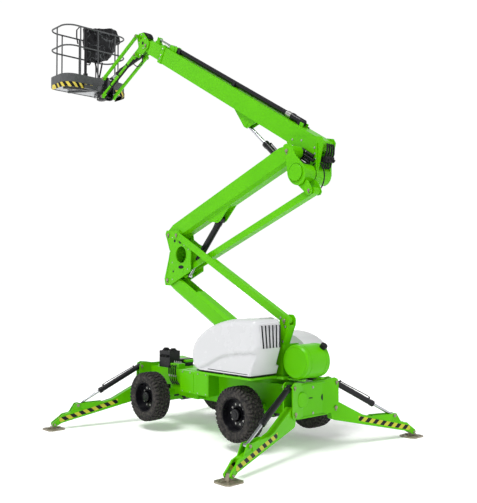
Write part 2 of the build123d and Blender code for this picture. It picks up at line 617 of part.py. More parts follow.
extension_line = Plane(
    origin=main_line.from_local_coords((500, EXTENSION_HEIGHT, 0)), x_dir=main_line.x_dir,
    z_dir=main_line.z_dir,
)
with BuildPart() as extension:
    with BuildSketch(Plane(origin=extension_line.origin, z_dir=main_line.x_dir)) as face:
        Circle(EXTENSION_RADIUS)
    extrude(face.sketch, amount=3700)
    for low, high in ((40, 110), (1800, 1860), (3560, 3620)):
        slab(
            extension_line,
            (
                (low, OUTER_TOP - EXTENSION_HEIGHT), (low, 20), (high, 20),
                (high, OUTER_TOP - EXTENSION_HEIGHT),
            ),
            -55, 55,
        )
save(extension.part, "extension_cylinder")

# Head, jib and basket
with BuildPart() as jib_head:
    pair(
        MAIN,
        (
            (2440, 7160), (2455, 7230), (2620, 7430), (2760, 7450), (2835, 7410), (2830, 7350),
            (2790, 7200), (2862, 7040), (2850, 6985), (2790, 6965), (2560, 7060), (2470, 7090),
        ),
        66, 82,
    )
    slab(MAIN, ((2600, 7290), (2640, 7425), (2750, 7440), (2760, 7330)), -66, 66)
    disc(MAIN, HEAD_PIVOT, FOOT_PIN, -88, 88)
    disc(MAIN, JIB_LOW, JIB_PIN, -166, 166)
    disc(MAIN, JIB_TOP, JIB_PIN, -166, 166)
save(jib_head.part, "jib_head")

JIB_TUBE_Y, JIB_TUBE_RADIUS = 130, 30
for name, start, end in (
    ("jib_lower_arms", JIB_LOW, PLATFORM_LOW), ("jib_upper_arms", JIB_TOP, PLATFORM_TOP),
):
    arm_line = along(start, end, MAIN_Y)
    with BuildPart() as arms:
        for offset_y in (-JIB_TUBE_Y, JIB_TUBE_Y):
            rod(
                (start[0], MAIN_Y + offset_y, start[1]), (end[0], MAIN_Y + offset_y, end[1]),
                JIB_TUBE_RADIUS,
            )
        for reach in (0, JIB_LENGTH):
            disc_pair(arm_line, (reach, 0), 36, 100, 160)
            disc_pair(arm_line, (reach, 0), JIB_PIN + PIN_GAP, 100, 160, Mode.SUBTRACT)
    save(arms.part, name)

jib_ram = along(JIB_LOW, PLATFORM_TOP, MAIN_Y)
JIB_RAM_REACH = hypot(PLATFORM_TOP[0] - JIB_LOW[0], PLATFORM_TOP[1] - JIB_LOW[1])
with BuildPart() as jib_barrel:
    ram_barrel(jib_ram, 860, 38, 20, 40, 40, JIB_PIN)
save(jib_barrel.part, "jib_barrel")
with BuildPart() as jib_rod:
    ram_rod(jib_ram, JIB_RAM_REACH, 840, 20, 34, 34)
save(jib_rod.part, "jib_rod")

ROTATOR_LOW, ROTATOR_HIGH = 6390, 6560
with BuildPart() as platform_bracket:
    pair(
        MAIN,
        (
            (3915, 6790), (3940, 6832), (3995, 6832), (4030, 6780), (4090, 6560), (4250, 6540),
            (4250, 6400), (4060, 6352), (3970, 6350), (3940, 6400),
        ),
        66, 82,
    )
    rod((ROTATOR_X, MAIN_Y, ROTATOR_LOW), (ROTATOR_X, MAIN_Y, ROTATOR_HIGH), 84)
    slab(MAIN, ((4100, 6420), (4100, 6530), (4240, 6530), (4240, 6420)), -66, 66)
    disc(MAIN, PLATFORM_LOW, JIB_PIN, -166, 166)
    disc_pair(MAIN, PLATFORM_TOP, JIB_PIN, 60, 166)
save(platform_bracket.part, "platform_bracket")

BASKET_X = CHASSIS_X + (BASKET_BACK + BASKET_FRONT) / 2
BASKET_DEPTH = BASKET_FRONT - BASKET_BACK
BASKET_CORNER = 260
RAIL_RADIUS = 17


def rail(level):
    """A round rail right around the basket."""
    half_x = BASKET_DEPTH / 2 - RAIL_RADIUS
    half_y = BASKET_LENGTH / 2 - RAIL_RADIUS
    with BuildLine(Plane(origin=(BASKET_X, MAIN_Y, level))) as path:
        FilletPolyline(
            (half_x, half_y), (half_x, -half_y), (-half_x, -half_y), (-half_x, half_y),
            close=True, radius=BASKET_CORNER - RAIL_RADIUS,
        )
    with BuildSketch(Plane(origin=path.line @ 0, z_dir=path.line % 0)) as ring:
        Circle(RAIL_RADIUS)
    sweep(ring.sketch, path=path.line)


with BuildPart() as basket_floor:
    with BuildSketch(Plane.XY.offset(BASKET_FLOOR)) as face:
        with Locations((BASKET_X, MAIN_Y)):
            RectangleRounded(BASKET_DEPTH - 14, BASKET_LENGTH - 14, BASKET_CORNER - 7)
    extrude(face.sketch, amount=30)
save(basket_floor.part, "basket_floor")

with BuildPart() as cage:
    with BuildSketch(Plane.XY.offset(BASKET_FLOOR - 10)) as face:
        with Locations((BASKET_X, MAIN_Y)):
            RectangleRounded(BASKET_DEPTH, BASKET_LENGTH, BASKET_CORNER)
            RectangleRounded(BASKET_DEPTH - 12, BASKET_LENGTH - 12, BASKET_CORNER - 6, mode=Mode.SUBTRACT)
    extrude(face.sketch, amount=210)
    for level in (7500, BASKET_RAIL - RAIL_RADIUS):
        rail(level)
    post_x = BASKET_DEPTH / 2 - RAIL_RADIUS
    post_y = BASKET_LENGTH / 2 - RAIL_RADIUS
    posts = (
        (post_x, 0), (post_x, 430), (post_x, -430), (-post_x, 430), (-post_x, -430),
        (0, post_y), (0, -post_y), (-post_x, 0),
    )
    for x, y in posts:
        start = (BASKET_X - CHASSIS_X + x, MAIN_Y + y, BASKET_FLOOR + 150)
        rod(start, (start[0], start[1], BASKET_RAIL - RAIL_RADIUS), 15)
    for y in (-430, 430):
        rod((ROTATOR_X + 40, MAIN_Y + y / 10, 6630), (4800, MAIN_Y + y, 6672), 22)
    block((4380, MAIN_Y - 300, 6640), (4440, MAIN_Y + 300, 6699))
    rod((ROTATOR_X, MAIN_Y, ROTATOR_HIGH + 5), (ROTATOR_X, MAIN_Y, 6680), 84)
    block((ROTATOR_X, MAIN_Y - 70, 6600), (4420, MAIN_Y + 70, 6680))
save(cage.part, "basket_cage")

with BuildPart() as console:
    block((4466, -800, 7260), (4700, 215, 7975))
    chamfer(console.edges().filter_by(Axis.Y), 60)
    for y in (-300, -170):
        rod((4490, y, 7300), (4460, -235, 6890), 16)
save(console.part, "control_console")
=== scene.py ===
import json
import math

import bmesh
import bpy
from mathutils import Matrix, Vector, noise


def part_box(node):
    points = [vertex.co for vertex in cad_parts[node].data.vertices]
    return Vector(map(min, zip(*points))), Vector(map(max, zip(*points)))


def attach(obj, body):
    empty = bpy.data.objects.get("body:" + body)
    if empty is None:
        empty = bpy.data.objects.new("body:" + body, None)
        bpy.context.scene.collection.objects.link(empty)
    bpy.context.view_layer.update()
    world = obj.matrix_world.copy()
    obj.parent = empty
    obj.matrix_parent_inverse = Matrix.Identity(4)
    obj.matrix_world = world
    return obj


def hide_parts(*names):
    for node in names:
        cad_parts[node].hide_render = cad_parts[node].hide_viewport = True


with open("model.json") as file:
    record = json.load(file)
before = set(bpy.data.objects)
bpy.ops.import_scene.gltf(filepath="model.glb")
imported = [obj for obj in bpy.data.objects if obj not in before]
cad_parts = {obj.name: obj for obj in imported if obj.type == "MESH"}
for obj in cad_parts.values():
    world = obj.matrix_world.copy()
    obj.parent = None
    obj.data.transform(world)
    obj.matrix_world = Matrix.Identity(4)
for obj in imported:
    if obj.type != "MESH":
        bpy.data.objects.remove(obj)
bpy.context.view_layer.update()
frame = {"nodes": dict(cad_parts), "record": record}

CHASSIS_LOW, CHASSIS_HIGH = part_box("chassis_frame")
MIDDLE = (CHASSIS_LOW[0] + CHASSIS_HIGH[0]) / 2
RISER_Y, MAIN_Y = 0.16, -0.17
BOOM_RISE = math.radians(30.65)
LEG_LEAN = math.radians(14)
LEG_ROOT = (1.85, 0.47)
HUB = (1.127, 0.795, 0.563)
TANK = (-1.88, 1.36)
DRUM = (-1.832, 4.14)
ROTATOR_X = 4.28
CORNERS = {"front_left": (1, 1), "front_right": (1, -1),
           "rear_left": (-1, 1), "rear_right": (-1, -1)}
ALONG, ACROSS, UP = Vector((1, 0, 0)), Vector((0, 1, 0)), Vector((0, 0, 1))


def at(x, y, z):
    """A point measured from the middle of the chassis."""
    return Vector((MIDDLE + x, y, z))


def side_view(points, y):
    """(x, z) points of the side view, at one distance across."""
    return [at(x, y, z) for x, z in points]


# ---- shader writing

class Wire:
    """A value in a material's node tree. Arithmetic on it adds Math nodes."""

    def __init__(self, tree, socket):
        self.tree = tree
        self.socket = socket

    def math(self, operation, *others, clamp=False):
        node = self.tree.nodes.new("ShaderNodeMath")
        node.operation = operation
        node.use_clamp = clamp
        for slot, value in zip(node.inputs, (self,) + others):
            join(self.tree, slot, value)
        return Wire(self.tree, node.outputs[0])

    def __add__(self, other): return self.math("ADD", other)
    def __radd__(self, other): return self.math("ADD", other)
    def __sub__(self, other): return self.math("SUBTRACT", other)
    def __rsub__(self, other): return (self * -1.0) + other
    def __mul__(self, other): return self.math("MULTIPLY", other)
    def __rmul__(self, other): return self.math("MULTIPLY", other)
    def __truediv__(self, other): return self.math("DIVIDE", other)
    def __gt__(self, other): return self.math("GREATER_THAN", other)
    def __lt__(self, other): return self.math("LESS_THAN", other)

    def wrap(self, period): return self.math("FLOORED_MODULO", period)
    def size(self): return self.math("ABSOLUTE")
    def clamped(self): return self.math("ADD", 0.0, clamp=True)
    def within(self, low, high): return (self > low) * (self < high)


def join(tree, slot, value):
    if isinstance(value, Wire):
        tree.links.new(value.socket, slot)
    else:
        slot.default_value = value


class Finish:
    """One material being written."""

    def __init__(self, name):
        self.material = bpy.data.materials.new(name)
        self.material.use_nodes = True
        self.tree = self.material.node_tree
        self.shader = self.tree.nodes["Principled BSDF"]

    def node(self, kind, settings=None, output=0, **values):
        """A node of any other type: its settings first, then its sockets by name."""
        made = self.tree.nodes.new(kind)
        for key, setting in (settings or {}).items():
            if key == "stops":
                ramp = made.color_ramp.elements
                while len(ramp) < len(setting):
                    ramp.new(0.5)
                for element, (place, colour) in zip(ramp, setting):
                    element.position = place
                    element.color = colour
            else:
                setattr(made, key, setting)
        for key, value in values.items():
            join(self.tree, made.inputs[key.replace("_", " ")], value)
        return Wire(self.tree, made.outputs[output])

    def place(self):
        return self.node("ShaderNodeTexCoord", output=3)

    def axes(self, vector=None):
        split = self.tree.nodes.new("ShaderNodeSeparateXYZ")
        join(self.tree, split.inputs[0], vector or self.place())
        return [Wire(self.tree, socket) for socket in split.outputs]

    def facing(self):
        """The three parts of the surface's normal."""
        return self.axes(self.node("ShaderNodeNewGeometry", output=1))

    def noise(self, scale, detail=4.0, rough=0.5, vector=None):
        return self.node("ShaderNodeTexNoise", Vector=vector or self.place(), Scale=scale,
                         Detail=detail, Roughness=rough)

    def blend(self, amount, first, second):
        made = self.tree.nodes.new("ShaderNodeMix")
        made.data_type = "RGBA"
        join(self.tree, made.inputs[0], amount)
        for slot, colour in ((made.inputs[6], first), (made.inputs[7], second)):
            join(self.tree, slot, colour if isinstance(colour, Wire) else (*colour[:3], 1.0))
        return Wire(self.tree, made.outputs[2])

    def ramp(self, value, low, high):
        """0 below low, 1 above high."""
        return self.node("ShaderNodeMapRange", {"clamp": True}, Value=value,
                         **{"From_Min": low, "From_Max": high})

    def bump(self, height, strength, distance):
        made = self.tree.nodes.new("ShaderNodeBump")
        join(self.tree, made.inputs["Height"], height)
        made.inputs["Strength"].default_value = strength
        made.inputs["Distance"].default_value = distance
        join(self.tree, self.shader.inputs["Normal"], Wire(self.tree, made.outputs[0]))

    def set(self, **values):
        for key, value in values.items():
            slot = self.shader.inputs[key.replace("_", " ")]
            if isinstance(value, tuple) and len(value) == 3 and slot.type == "RGBA":
                value = (*value, 1.0)
            join(self.tree, slot, value)
        return self


# ---- finishes

LIME = (0.112, 0.49, 0.0)
DEEP_LIME = (0.082, 0.42, 0.0)
HAZARD_YELLOW = (0.46, 0.46, 0.04)
HAZARD_BLACK = (0.01, 0.01, 0.012)
PALE_DUST = (0.3, 0.52, 0.1)


def dust(finish, amount):
    """A thin pale dust that settles on faces that look up."""
    upward = finish.facing()[2]
    patches = finish.noise(5.0, 6.0, 0.6)
    return (finish.ramp(upward, 0.55, 1.0) * finish.ramp(patches, 0.42, 0.75) * amount).clamped()


def lime_tone(finish):
    tone = finish.blend(finish.noise(1.6), LIME, DEEP_LIME)
    return finish.blend(dust(finish, 0.14), tone, PALE_DUST)


def lime_gloss(finish, tone):
    finish.set(Base_Color=tone, Roughness=finish.noise(9.0, 3.0) * 0.1 + 0.27,
               Specular_IOR_Level=0.1, Coat_Weight=0.07, Coat_Roughness=0.1)
    finish.bump(finish.noise(240.0, 2.0), 0.05, 0.002)
    return finish.material


def lime_paint():
    finish = Finish("lime_paint")
    return lime_gloss(finish, lime_tone(finish))


def hazard(finish, across, along, pitch):
    """Slanting black bars on yellow: across and along are metres in the face."""
    bars = (along + across).wrap(pitch) > pitch * 0.5
    return finish.blend(bars, HAZARD_YELLOW, HAZARD_BLACK)


def leg_paint():
    """Lime paint with a hazard band down the sides of an outrigger's leg."""
    finish = Finish("leg_paint")
    x, y, z = finish.axes()
    out = (((x - MIDDLE).size() - LEG_ROOT[0]) * math.sin(LEG_LEAN)
           + (y.size() - LEG_ROOT[1]) * math.cos(LEG_LEAN))
    drop = (1.12 - out) * 0.237 + 0.315 - z
    side = finish.facing()[0].size() > 0.8
    band = out.within(0.46, 1.5) * drop.within(0.028, 0.104) * side
    tone = finish.blend(band, lime_tone(finish), hazard(finish, drop * 0.9, out, 0.15))
    return lime_gloss(finish, tone)


def basket_paint():
    """Dark grey enamel, patchy and dusty."""
    finish = Finish("basket_grey")
    patches = finish.noise(7.0, 5.0, 0.6)
    tone = finish.blend(patches, (0.05, 0.053, 0.056), (0.095, 0.098, 0.102))
    tone = finish.blend(dust(finish, 0.3), tone, (0.25, 0.25, 0.24))
    finish.set(Base_Color=tone, Roughness=patches * 0.16 + 0.34, Specular_IOR_Level=0.3)
    finish.bump(finish.noise(180.0, 2.0), 0.05, 0.002)
    return finish.material


def plain(name, colour, rough, metallic=0.0, spread=0.15, grain=60.0, bump=0.05, coat=0.0,
          worn=None, shine=0.5):
    finish = Finish(name)
    patches = finish.noise(grain * 0.12, 5.0, 0.6)
    tone = finish.blend(patches, tuple(c * (1 - spread) for c in colour),
                        tuple(min(1.0, c * (1 + spread)) for c in colour))
    if worn:
        tone = finish.blend(dust(finish, 0.35), tone, worn)
    finish.set(Base_Color=tone, Roughness=patches * 0.16 + (rough - 0.08), Metallic=metallic,
               Coat_Weight=coat, Specular_IOR_Level=shine)
    finish.bump(finish.noise(grain, 3.0), bump, 0.002)
    return finish.material


def rubber():
    """Black rubber, greyer and browner where the blocks scrub the ground."""
    finish = Finish("tyre_rubber")
    scuffed = finish.ramp(finish.noise(26.0, 6.0, 0.7), 0.42, 0.66)
    tone = finish.blend(scuffed, (0.008, 0.008, 0.009), (0.066, 0.058, 0.052))
    finish.set(Base_Color=tone, Roughness=scuffed * 0.15 + 0.68, Specular_IOR_Level=0.25)
    finish.bump(finish.noise(150.0, 4.0, 0.6), 0.35, 0.003)
    return finish.material


def vinyl():
    """Black coated cloth with a fine grain and soft creases, and thin pale lines along the folds that
    are painted highlights.
    """
    finish = Finish("cover_vinyl")
    creases = finish.noise(9.0, 6.0, 0.55)
    # painted highlights: thin pale grey lines where a noise crosses its middle, blended over the black
    # cloth
    painted_glint_lines = (finish.noise(5.5, 3.0, 0.5) - 0.5).size()
    tone = finish.blend(finish.ramp(creases, 0.45, 0.7), (0.003, 0.003, 0.004), (0.01, 0.011, 0.014))
    tone = finish.blend((1.0 - finish.ramp(painted_glint_lines, 0.002, 0.02)) * 0.6, tone, (0.16, 0.17, 0.18))
    finish.set(Base_Color=tone, Roughness=creases * 0.3 + 0.18, Specular_IOR_Level=0.2)
    finish.bump(creases * 0.8 + finish.noise(420.0, 2.0) * 0.06, 0.9, 0.03)
    return finish.material


FINISHES = {
    "green_paint": lime_paint(),
    "leg_green": leg_paint(),
    "white_cowl": plain("white_gelcoat", (0.565, 0.57, 0.585), 0.26, spread=0.02, grain=12.0,
                        bump=0.015, coat=0.15, shine=0.3),
    "black_paint": plain("black_enamel", (0.006, 0.006, 0.008), 0.3, coat=0.05, worn=(0.03, 0.03, 0.03),
                         shine=0.22),
    "grey_paint": basket_paint(),
    "rod_chrome": plain("rod_chrome", (0.48, 0.49, 0.52), 0.14, metallic=1.0, spread=0.04, bump=0.01),
    "zinc_steel": plain("pad_zinc", (0.26, 0.23, 0.17), 0.45, metallic=0.5, spread=0.4, grain=90.0),
    "tyre_rubber": rubber(),
    "engine_iron": plain("engine_iron", (0.05, 0.05, 0.052), 0.6, metallic=0.3),
    "cover_vinyl": vinyl(),
    "deck_aluminium": plain("deck_aluminium", (0.42, 0.43, 0.44), 0.4, metallic=0.9),
    "bright_bolts": plain("bright_bolts", (0.42, 0.42, 0.4), 0.32, metallic=0.9, spread=0.2),
    "louvre_black": plain("louvre_black", (0.006, 0.007, 0.01), 0.5, shine=0.15),
    "hose_rubber": plain("hose_rubber", (0.006, 0.006, 0.007), 0.5, bump=0.15, shine=0.2),
    "hazard_yellow": plain("hazard_yellow", (0.62, 0.5, 0.06), 0.5),
}

for entry in frame["record"]["subparts"]:
    name = entry["node"]
    node = frame["nodes"][name]
    finish = "leg_green" if name in {f"leg_{corner}" for corner in CORNERS} else entry["material_slot"]
    node.data.materials.clear()
    node.data.materials.append(FINISHES[finish])


# ---- shapes

def piece(name, body, finish, shape, bevel=0.0, replaced=()):
    """Close a bmesh into a piece that rides on a body."""
    bmesh.ops.recalc_face_normals(shape, faces=shape.faces)
    mesh = bpy.data.meshes.new(name)
    shape.to_mesh(mesh)
    shape.free()
    thing = bpy.data.objects.new(name, mesh)
    bpy.context.collection.objects.link(thing)
    mesh.materials.append(FINISHES[finish])
    mesh.polygons.foreach_set("use_smooth", [True] * len(mesh.polygons))
    mesh.set_sharp_from_angle(angle=math.radians(32))
    if bevel:
        rounding = thing.modifiers.new("edges", "BEVEL")
        rounding.width = bevel
        rounding.segments = 2
        rounding.limit_method = "ANGLE"
    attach(thing, body)
    if replaced:
        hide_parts(*replaced)
    return thing


def basis(axis):
    """Two directions square to an axis."""
    axis = Vector(axis).normalized()
    hint = Vector((0, 0, 1)) if abs(axis.z) < 0.9 else Vector((1, 0, 0))
    first = axis.cross(hint).normalized()
    return first, axis.cross(first).normalized()


def around(axis, angle):
    """The direction square to an axis, at an angle round it."""
    first, second = basis(axis)
    return first * math.cos(angle) + second * math.sin(angle)


def turns(count, start=0.0):
    """Evenly spaced angles of a full turn."""
    return [start + 2 * math.pi * k / count for k in range(count)]


def spun(shape, origin, axis, reach, angle, radius):
    """A new point at a distance along an axis and a radius from it."""
    return shape.verts.new(Vector(origin) + Vector(axis) * reach + around(axis, angle) * radius)


def wrap(shape, rings, capped=False):
    """Faces between closed rings of points, and over the two ends."""
    for low, high in zip(rings, rings[1:]):
        for k in range(len(low)):
            m = (k + 1) % len(low)
            shape.faces.new((low[k], low[m], high[m], high[k]))
    if capped:
        shape.faces.new(rings[0][::-1])
        shape.faces.new(rings[-1])


def turned(shape, origin, axis, profile, steps=24):
    """A round body: profile is (distance along the axis, radius) pairs."""
    axis = Vector(axis).normalized()
    rings = [[spun(shape, origin, axis, reach, a, radius)
              for a in (turns(steps) if radius > 1e-6 else [0.0])] for reach, radius in profile]
    for low, high in zip(rings, rings[1:]):
        for k in range(steps):
            corners = (low[k % len(low)], low[(k + 1) % len(low)],
                       high[(k + 1) % len(high)], high[k % len(high)])
            unique = list(dict.fromkeys(corners))
            if len(unique) > 2:
                shape.faces.new(unique)
    for ring in (rings[0][::-1], rings[-1]):
        if len(ring) > 2:
            shape.faces.new(ring)


def discs(shape, places, axis, profile, steps=24):
    """The same round body at several places."""
    for place in places:
        turned(shape, place, axis, profile, steps)


def closed_box(shape, low, high, place=None):
    """A box between two corners, moved by a matrix if one is given."""
    corners = [shape.verts.new(((low, high)[i][0], (low, high)[j][1], (low, high)[k][2]))
               for i in (0, 1) for j in (0, 1) for k in (0, 1)]
    for quad in ((0, 1, 3, 2), (4, 6, 7, 5), (0, 4, 5, 1), (2, 3, 7, 6), (0, 2, 6, 4), (1, 5, 7, 3)):
        shape.faces.new([corners[q] for q in quad])
    if place:
        for corner in corners:
            corner.co = place @ corner.co


def boxes(shape, *pairs):
    """Boxes between pairs of corners measured from the middle of the chassis."""
    for low, high in pairs:
        closed_box(shape, at(*low), at(*high))


def plate(shape, outline, start, thickness):
    """An outline of points pulled along a direction."""
    near = [shape.verts.new(Vector(p) + Vector(start)) for p in outline]
    far = [shape.verts.new(v.co + Vector(thickness)) for v in near]
    shape.faces.new(near)
    shape.faces.new(far[::-1])
    for k in range(len(near)):
        shape.faces.new((near[k], far[k], far[(k + 1) % len(far)], near[(k + 1) % len(near)]))


def hex_bolt(shape, place, axis, size=0.018):
    """A washer and a hexagon head, standing on a face."""
    turned(shape, place, axis, [(-0.002, size * 1.35), (0.003, size * 1.35)], 16)
    turned(shape, place, axis, [(0.002, size), (size * 0.72, size), (size * 0.84, size * 0.82)], 6)


def bolt_row(shape, places, axis, size):
    for place in places:
        hex_bolt(shape, place, axis, size)


def bolt_pairs(shape, places, y, off, size):
    """Bolts on both faces of an upright part: places are (x, z) pairs."""
    for out in (1, -1):
        bolt_row(shape, side_view(places, y + out * off), ACROSS * out, size)


def pin_cap(shape, place, axis, radius, keeper=True):
    """A chamfered pin end with its keeper plate and bolt."""
    turned(shape, place, axis, [(-0.004, radius), (0.01, radius), (0.014, radius * 0.86)], 24)
    turned(shape, place, axis, [(0.012, radius * 0.3), (0.016, radius * 0.26)], 12)
    if keeper:
        hex_bolt(shape, Vector(place) + basis(axis)[1] * radius * 1.55, axis, radius * 0.36)


def tube_along(shape, points, radius, steps=12):
    """A round tube through points, with mitred bends."""
    points = [Vector(p) for p in points]
    wrap(shape, [[spun(shape, point, after - before, 0.0, a, radius) for a in turns(steps)]
                 for before, point, after in
                 zip(points[:1] + points, points, points[1:] + points[-1:])], capped=True)


def smooth_line(points, steps=6):
    """A soft curve through points in the side view."""
    points = [Vector((*p, 0.0)) for p in points]
    ends = [points[0] * 2 - points[1]] + points + [points[-1] * 2 - points[-2]]
    line = []
    for a, b, c, d in zip(ends, ends[1:], ends[2:], ends[3:]):
        for k in range(steps):
            t = k / steps
            line.append(0.5 * ((2 * b) + (c - a) * t + (2 * a - 5 * b + 4 * c - d) * t * t
                               + (3 * b - a - 3 * c + d) * t ** 3))
    line.append(points[-1])
    return [(p.x, p.y) for p in line]


def shrunk(outline, amount):
    """A closed outline moved inward by an amount, corners kept sharp."""
    count = len(outline)
    area = sum(outline[k][0] * outline[(k + 1) % count][1] - outline[(k + 1) % count][0] * outline[k][1]
               for k in range(count))
    sign = 1 if area > 0 else -1
    moved = []
    for k in range(count):
        before, here, after = (Vector(outline[(k + n) % count]) for n in (-1, 0, 1))
        first = (here - before).normalized()
        second = (after - here).normalized()
        normal = Vector((-(first.y + second.y), first.x + second.x)) * sign
        length = normal.length
        if length < 1e-5:
            moved.append(tuple(here))
            continue
        normal /= length
        spread = max(0.45, normal.dot(Vector((-second.y, second.x)) * sign))
        moved.append(tuple(here + normal * amount / spread))
    return moved


def moulded_shell(shape, outline, inner_y, outer_y, rounding):
    """A moulded cover: an outline pulled across, with its outer edge rolled over."""
    sign = 1 if outer_y > inner_y else -1
    levels = [(inner_y, 0.0)]
    for k in range(7):
        a = math.pi / 2 * k / 6
        levels.append((outer_y - sign * rounding * (1 - math.sin(a)), rounding * (1 - math.cos(a))))
    wrap(shape, [[shape.verts.new(point) for point in side_view(shrunk(outline, inset), y)]
                 for y, inset in levels], capped=True)


# ---- wheels

def rolled(shape, origin, axis, profile, steps):
    """A ring: a closed profile of (distance, radius) pairs turned about an axis."""
    rings = [[spun(shape, origin, axis, reach, a, radius) for reach, radius in profile]
             for a in turns(steps)]
    wrap(shape, rings + rings[:1])


CARCASS = [(-0.118, 0.2506), (-0.136, 0.262), (-0.149, 0.3), (-0.149, 0.342), (-0.138, 0.372),
           (-0.112, 0.392), (-0.06, 0.398), (0.06, 0.398), (0.112, 0.392), (0.138, 0.372),
           (0.149, 0.342), (0.149, 0.3), (0.136, 0.262), (0.118, 0.2506)]
# Each row of tread blocks: its distance across, its width and its slant.
TREAD_ROWS = ((-0.098, 0.05, 0.1), (-0.035, 0.052, -0.06),
              (0.035, 0.052, 0.06), (0.098, 0.05, -0.1))
# The outer face of a shoulder block, as (distance across, radius).
SHOULDER = ((0.12, 0.409), (0.1485, 0.378), (0.15, 0.35), (0.138, 0.352))
TREAD_FLOOR, TREAD_TOP = 0.392, 0.4145
BLOCKS = 38
PITCH = 2 * math.pi / BLOCKS


def tread_block(shape, origin, axis, corners, low, high):
    """One rubber block: four (distance, angle) corners between two radii."""
    middle = [sum(c[n] for c in corners) / 4 for n in (0, 1)]
    rings = []
    for radius, keep in ((low, 1.0), (high, 0.86)):
        inset = [[m + (value - m) * keep for m, value in zip(middle, corner)] for corner in corners]
        rings.append([spun(shape, origin, axis, reach, angle, radius) for reach, angle in inset])
    shape.faces.new(rings[1])
    wrap(shape, rings)


def tyre(corner, origin, axis):
    shape = bmesh.new()
    rolled(shape, origin, axis, CARCASS, 96)
    for row, (reach, width, skew) in enumerate(TREAD_ROWS):
        slant, inner, outer = skew * PITCH * 3, reach - width / 2, reach + width / 2
        for start in turns(BLOCKS, PITCH * 0.5 * (row % 2)):
            end = start + PITCH * 0.66
            tread_block(shape, origin, axis,
                        [(inner, start), (inner, end), (outer, end + slant), (outer, start + slant)],
                        TREAD_FLOOR, TREAD_TOP - 0.004 * (abs(reach) > 0.05))
    for sign in (-1, 1):
        for start in turns(BLOCKS, PITCH * 0.25):
            rings = [[spun(shape, origin, axis, reach * sign, angle, radius)
                      for angle in (start, start + PITCH * 0.55)] for reach, radius in SHOULDER]
            for low, high in zip(rings, rings[1:]):
                shape.faces.new((low[0], low[1], high[1], high[0]))
            for n in (0, 1):
                shape.faces.new([ring[n] for ring in rings])
    piece(f"tyre_tread_{corner}", f"wheel_{corner}", "tyre_rubber", shape,
          replaced=(f"tyre_{corner}",))


def rim_fittings(corner, origin, axis):
    shape = bmesh.new()
    rolled(shape, origin, axis, [(0.108, 0.2375), (0.126, 0.2375), (0.131, 0.243), (0.128, 0.2495),
                                 (0.108, 0.2495)], 72)
    turned(shape, origin, axis, [(0.019, 0.19), (0.026, 0.184), (0.026, 0.118), (0.06, 0.1085)], 48)
    turned(shape, origin, axis, [(0.094, 0.046), (0.104, 0.04), (0.106, 0.0)], 32)
    piece(f"rim_lip_{corner}", f"wheel_{corner}", "black_paint", shape)
    shape = bmesh.new()
    bolt_row(shape, [origin + axis * 0.028 + around(axis, a) * 0.148 for a in turns(10)], axis, 0.013)
    piece(f"wheel_nuts_{corner}", f"wheel_{corner}", "bright_bolts", shape)


for corner, (sx, sy) in CORNERS.items():
    hub = at(sx * HUB[0], sy * HUB[1], HUB[2])
    tyre(corner, hub, ACROSS * sy)
    rim_fittings(corner, hub, ACROSS * sy)


# ---- cowls and tank

CREASE = [(-0.432, 1.213), (-0.622, 1.282), (-0.83, 1.384), (-1.033, 1.452), (-1.36, 1.503),
          (-1.69, 1.528)]
NOSE = [(-1.692, 1.88), (-1.668, 1.955), (-1.59, 1.99), (-1.306, 1.988), (-1.044, 1.958),
        (-0.795, 1.902),
        (-0.585, 1.822), (-0.385, 1.702), (-0.258, 1.566), (-0.206, 1.425), (-0.222, 1.3),
        (-0.3, 1.205), (-0.4, 1.196)]
CREASE_LINE = smooth_line(CREASE, 4)


def eased(value):
    value = min(1.0, max(0.0, value))
    return value * value * (3 - 2 * value)


def crease_level(x):
    for (x0, z0), (x1, z1) in zip(CREASE_LINE, CREASE_LINE[1:]):
        if x1 <= x <= x0:
            return z0 + (z1 - z0) * (x - x0) / (x1 - x0)
    return 1.196 if x > CREASE_LINE[0][0] else CREASE_LINE[-1][1]


def cowl_relief(x, z):
    """How far the side of the cowl stands back: a lower panel sunk below a rolled crease."""
    under = crease_level(x) - z
    bead = math.exp(-(under + 0.03) ** 2 / 0.0012)
    return 0.026 * eased(under / 0.03) + 0.005 * eased((under - 0.1) / 0.2) - 0.005 * bead


def cowl_rounding(x, z):
    return 0.032 + 0.075 * eased((z - 1.24 + max(0.0, x + 0.5) * 0.6) / 0.26)


def inside_by(x, z, outline):
    """How far a point is inside an outline, with the outline's nearest point."""
    best, near, odd = 9.0, None, False
    for (x0, z0), (x1, z1) in zip(outline, outline[1:] + outline[:1]):
        dx, dz = x1 - x0, z1 - z0
        t = min(1.0, max(0.0, ((x - x0) * dx + (z - z0) * dz) / (dx * dx + dz * dz)))
        gap = math.hypot(x - x0 - dx * t, z - z0 - dz * t)
        if gap < best:
            best, near = gap, (x0 + dx * t, z0 + dz * t)
        if (z0 > z) != (z1 > z) and x < x0 + dx * (z - z0) / dz:
            odd = not odd
    return (best if odd else -best), near


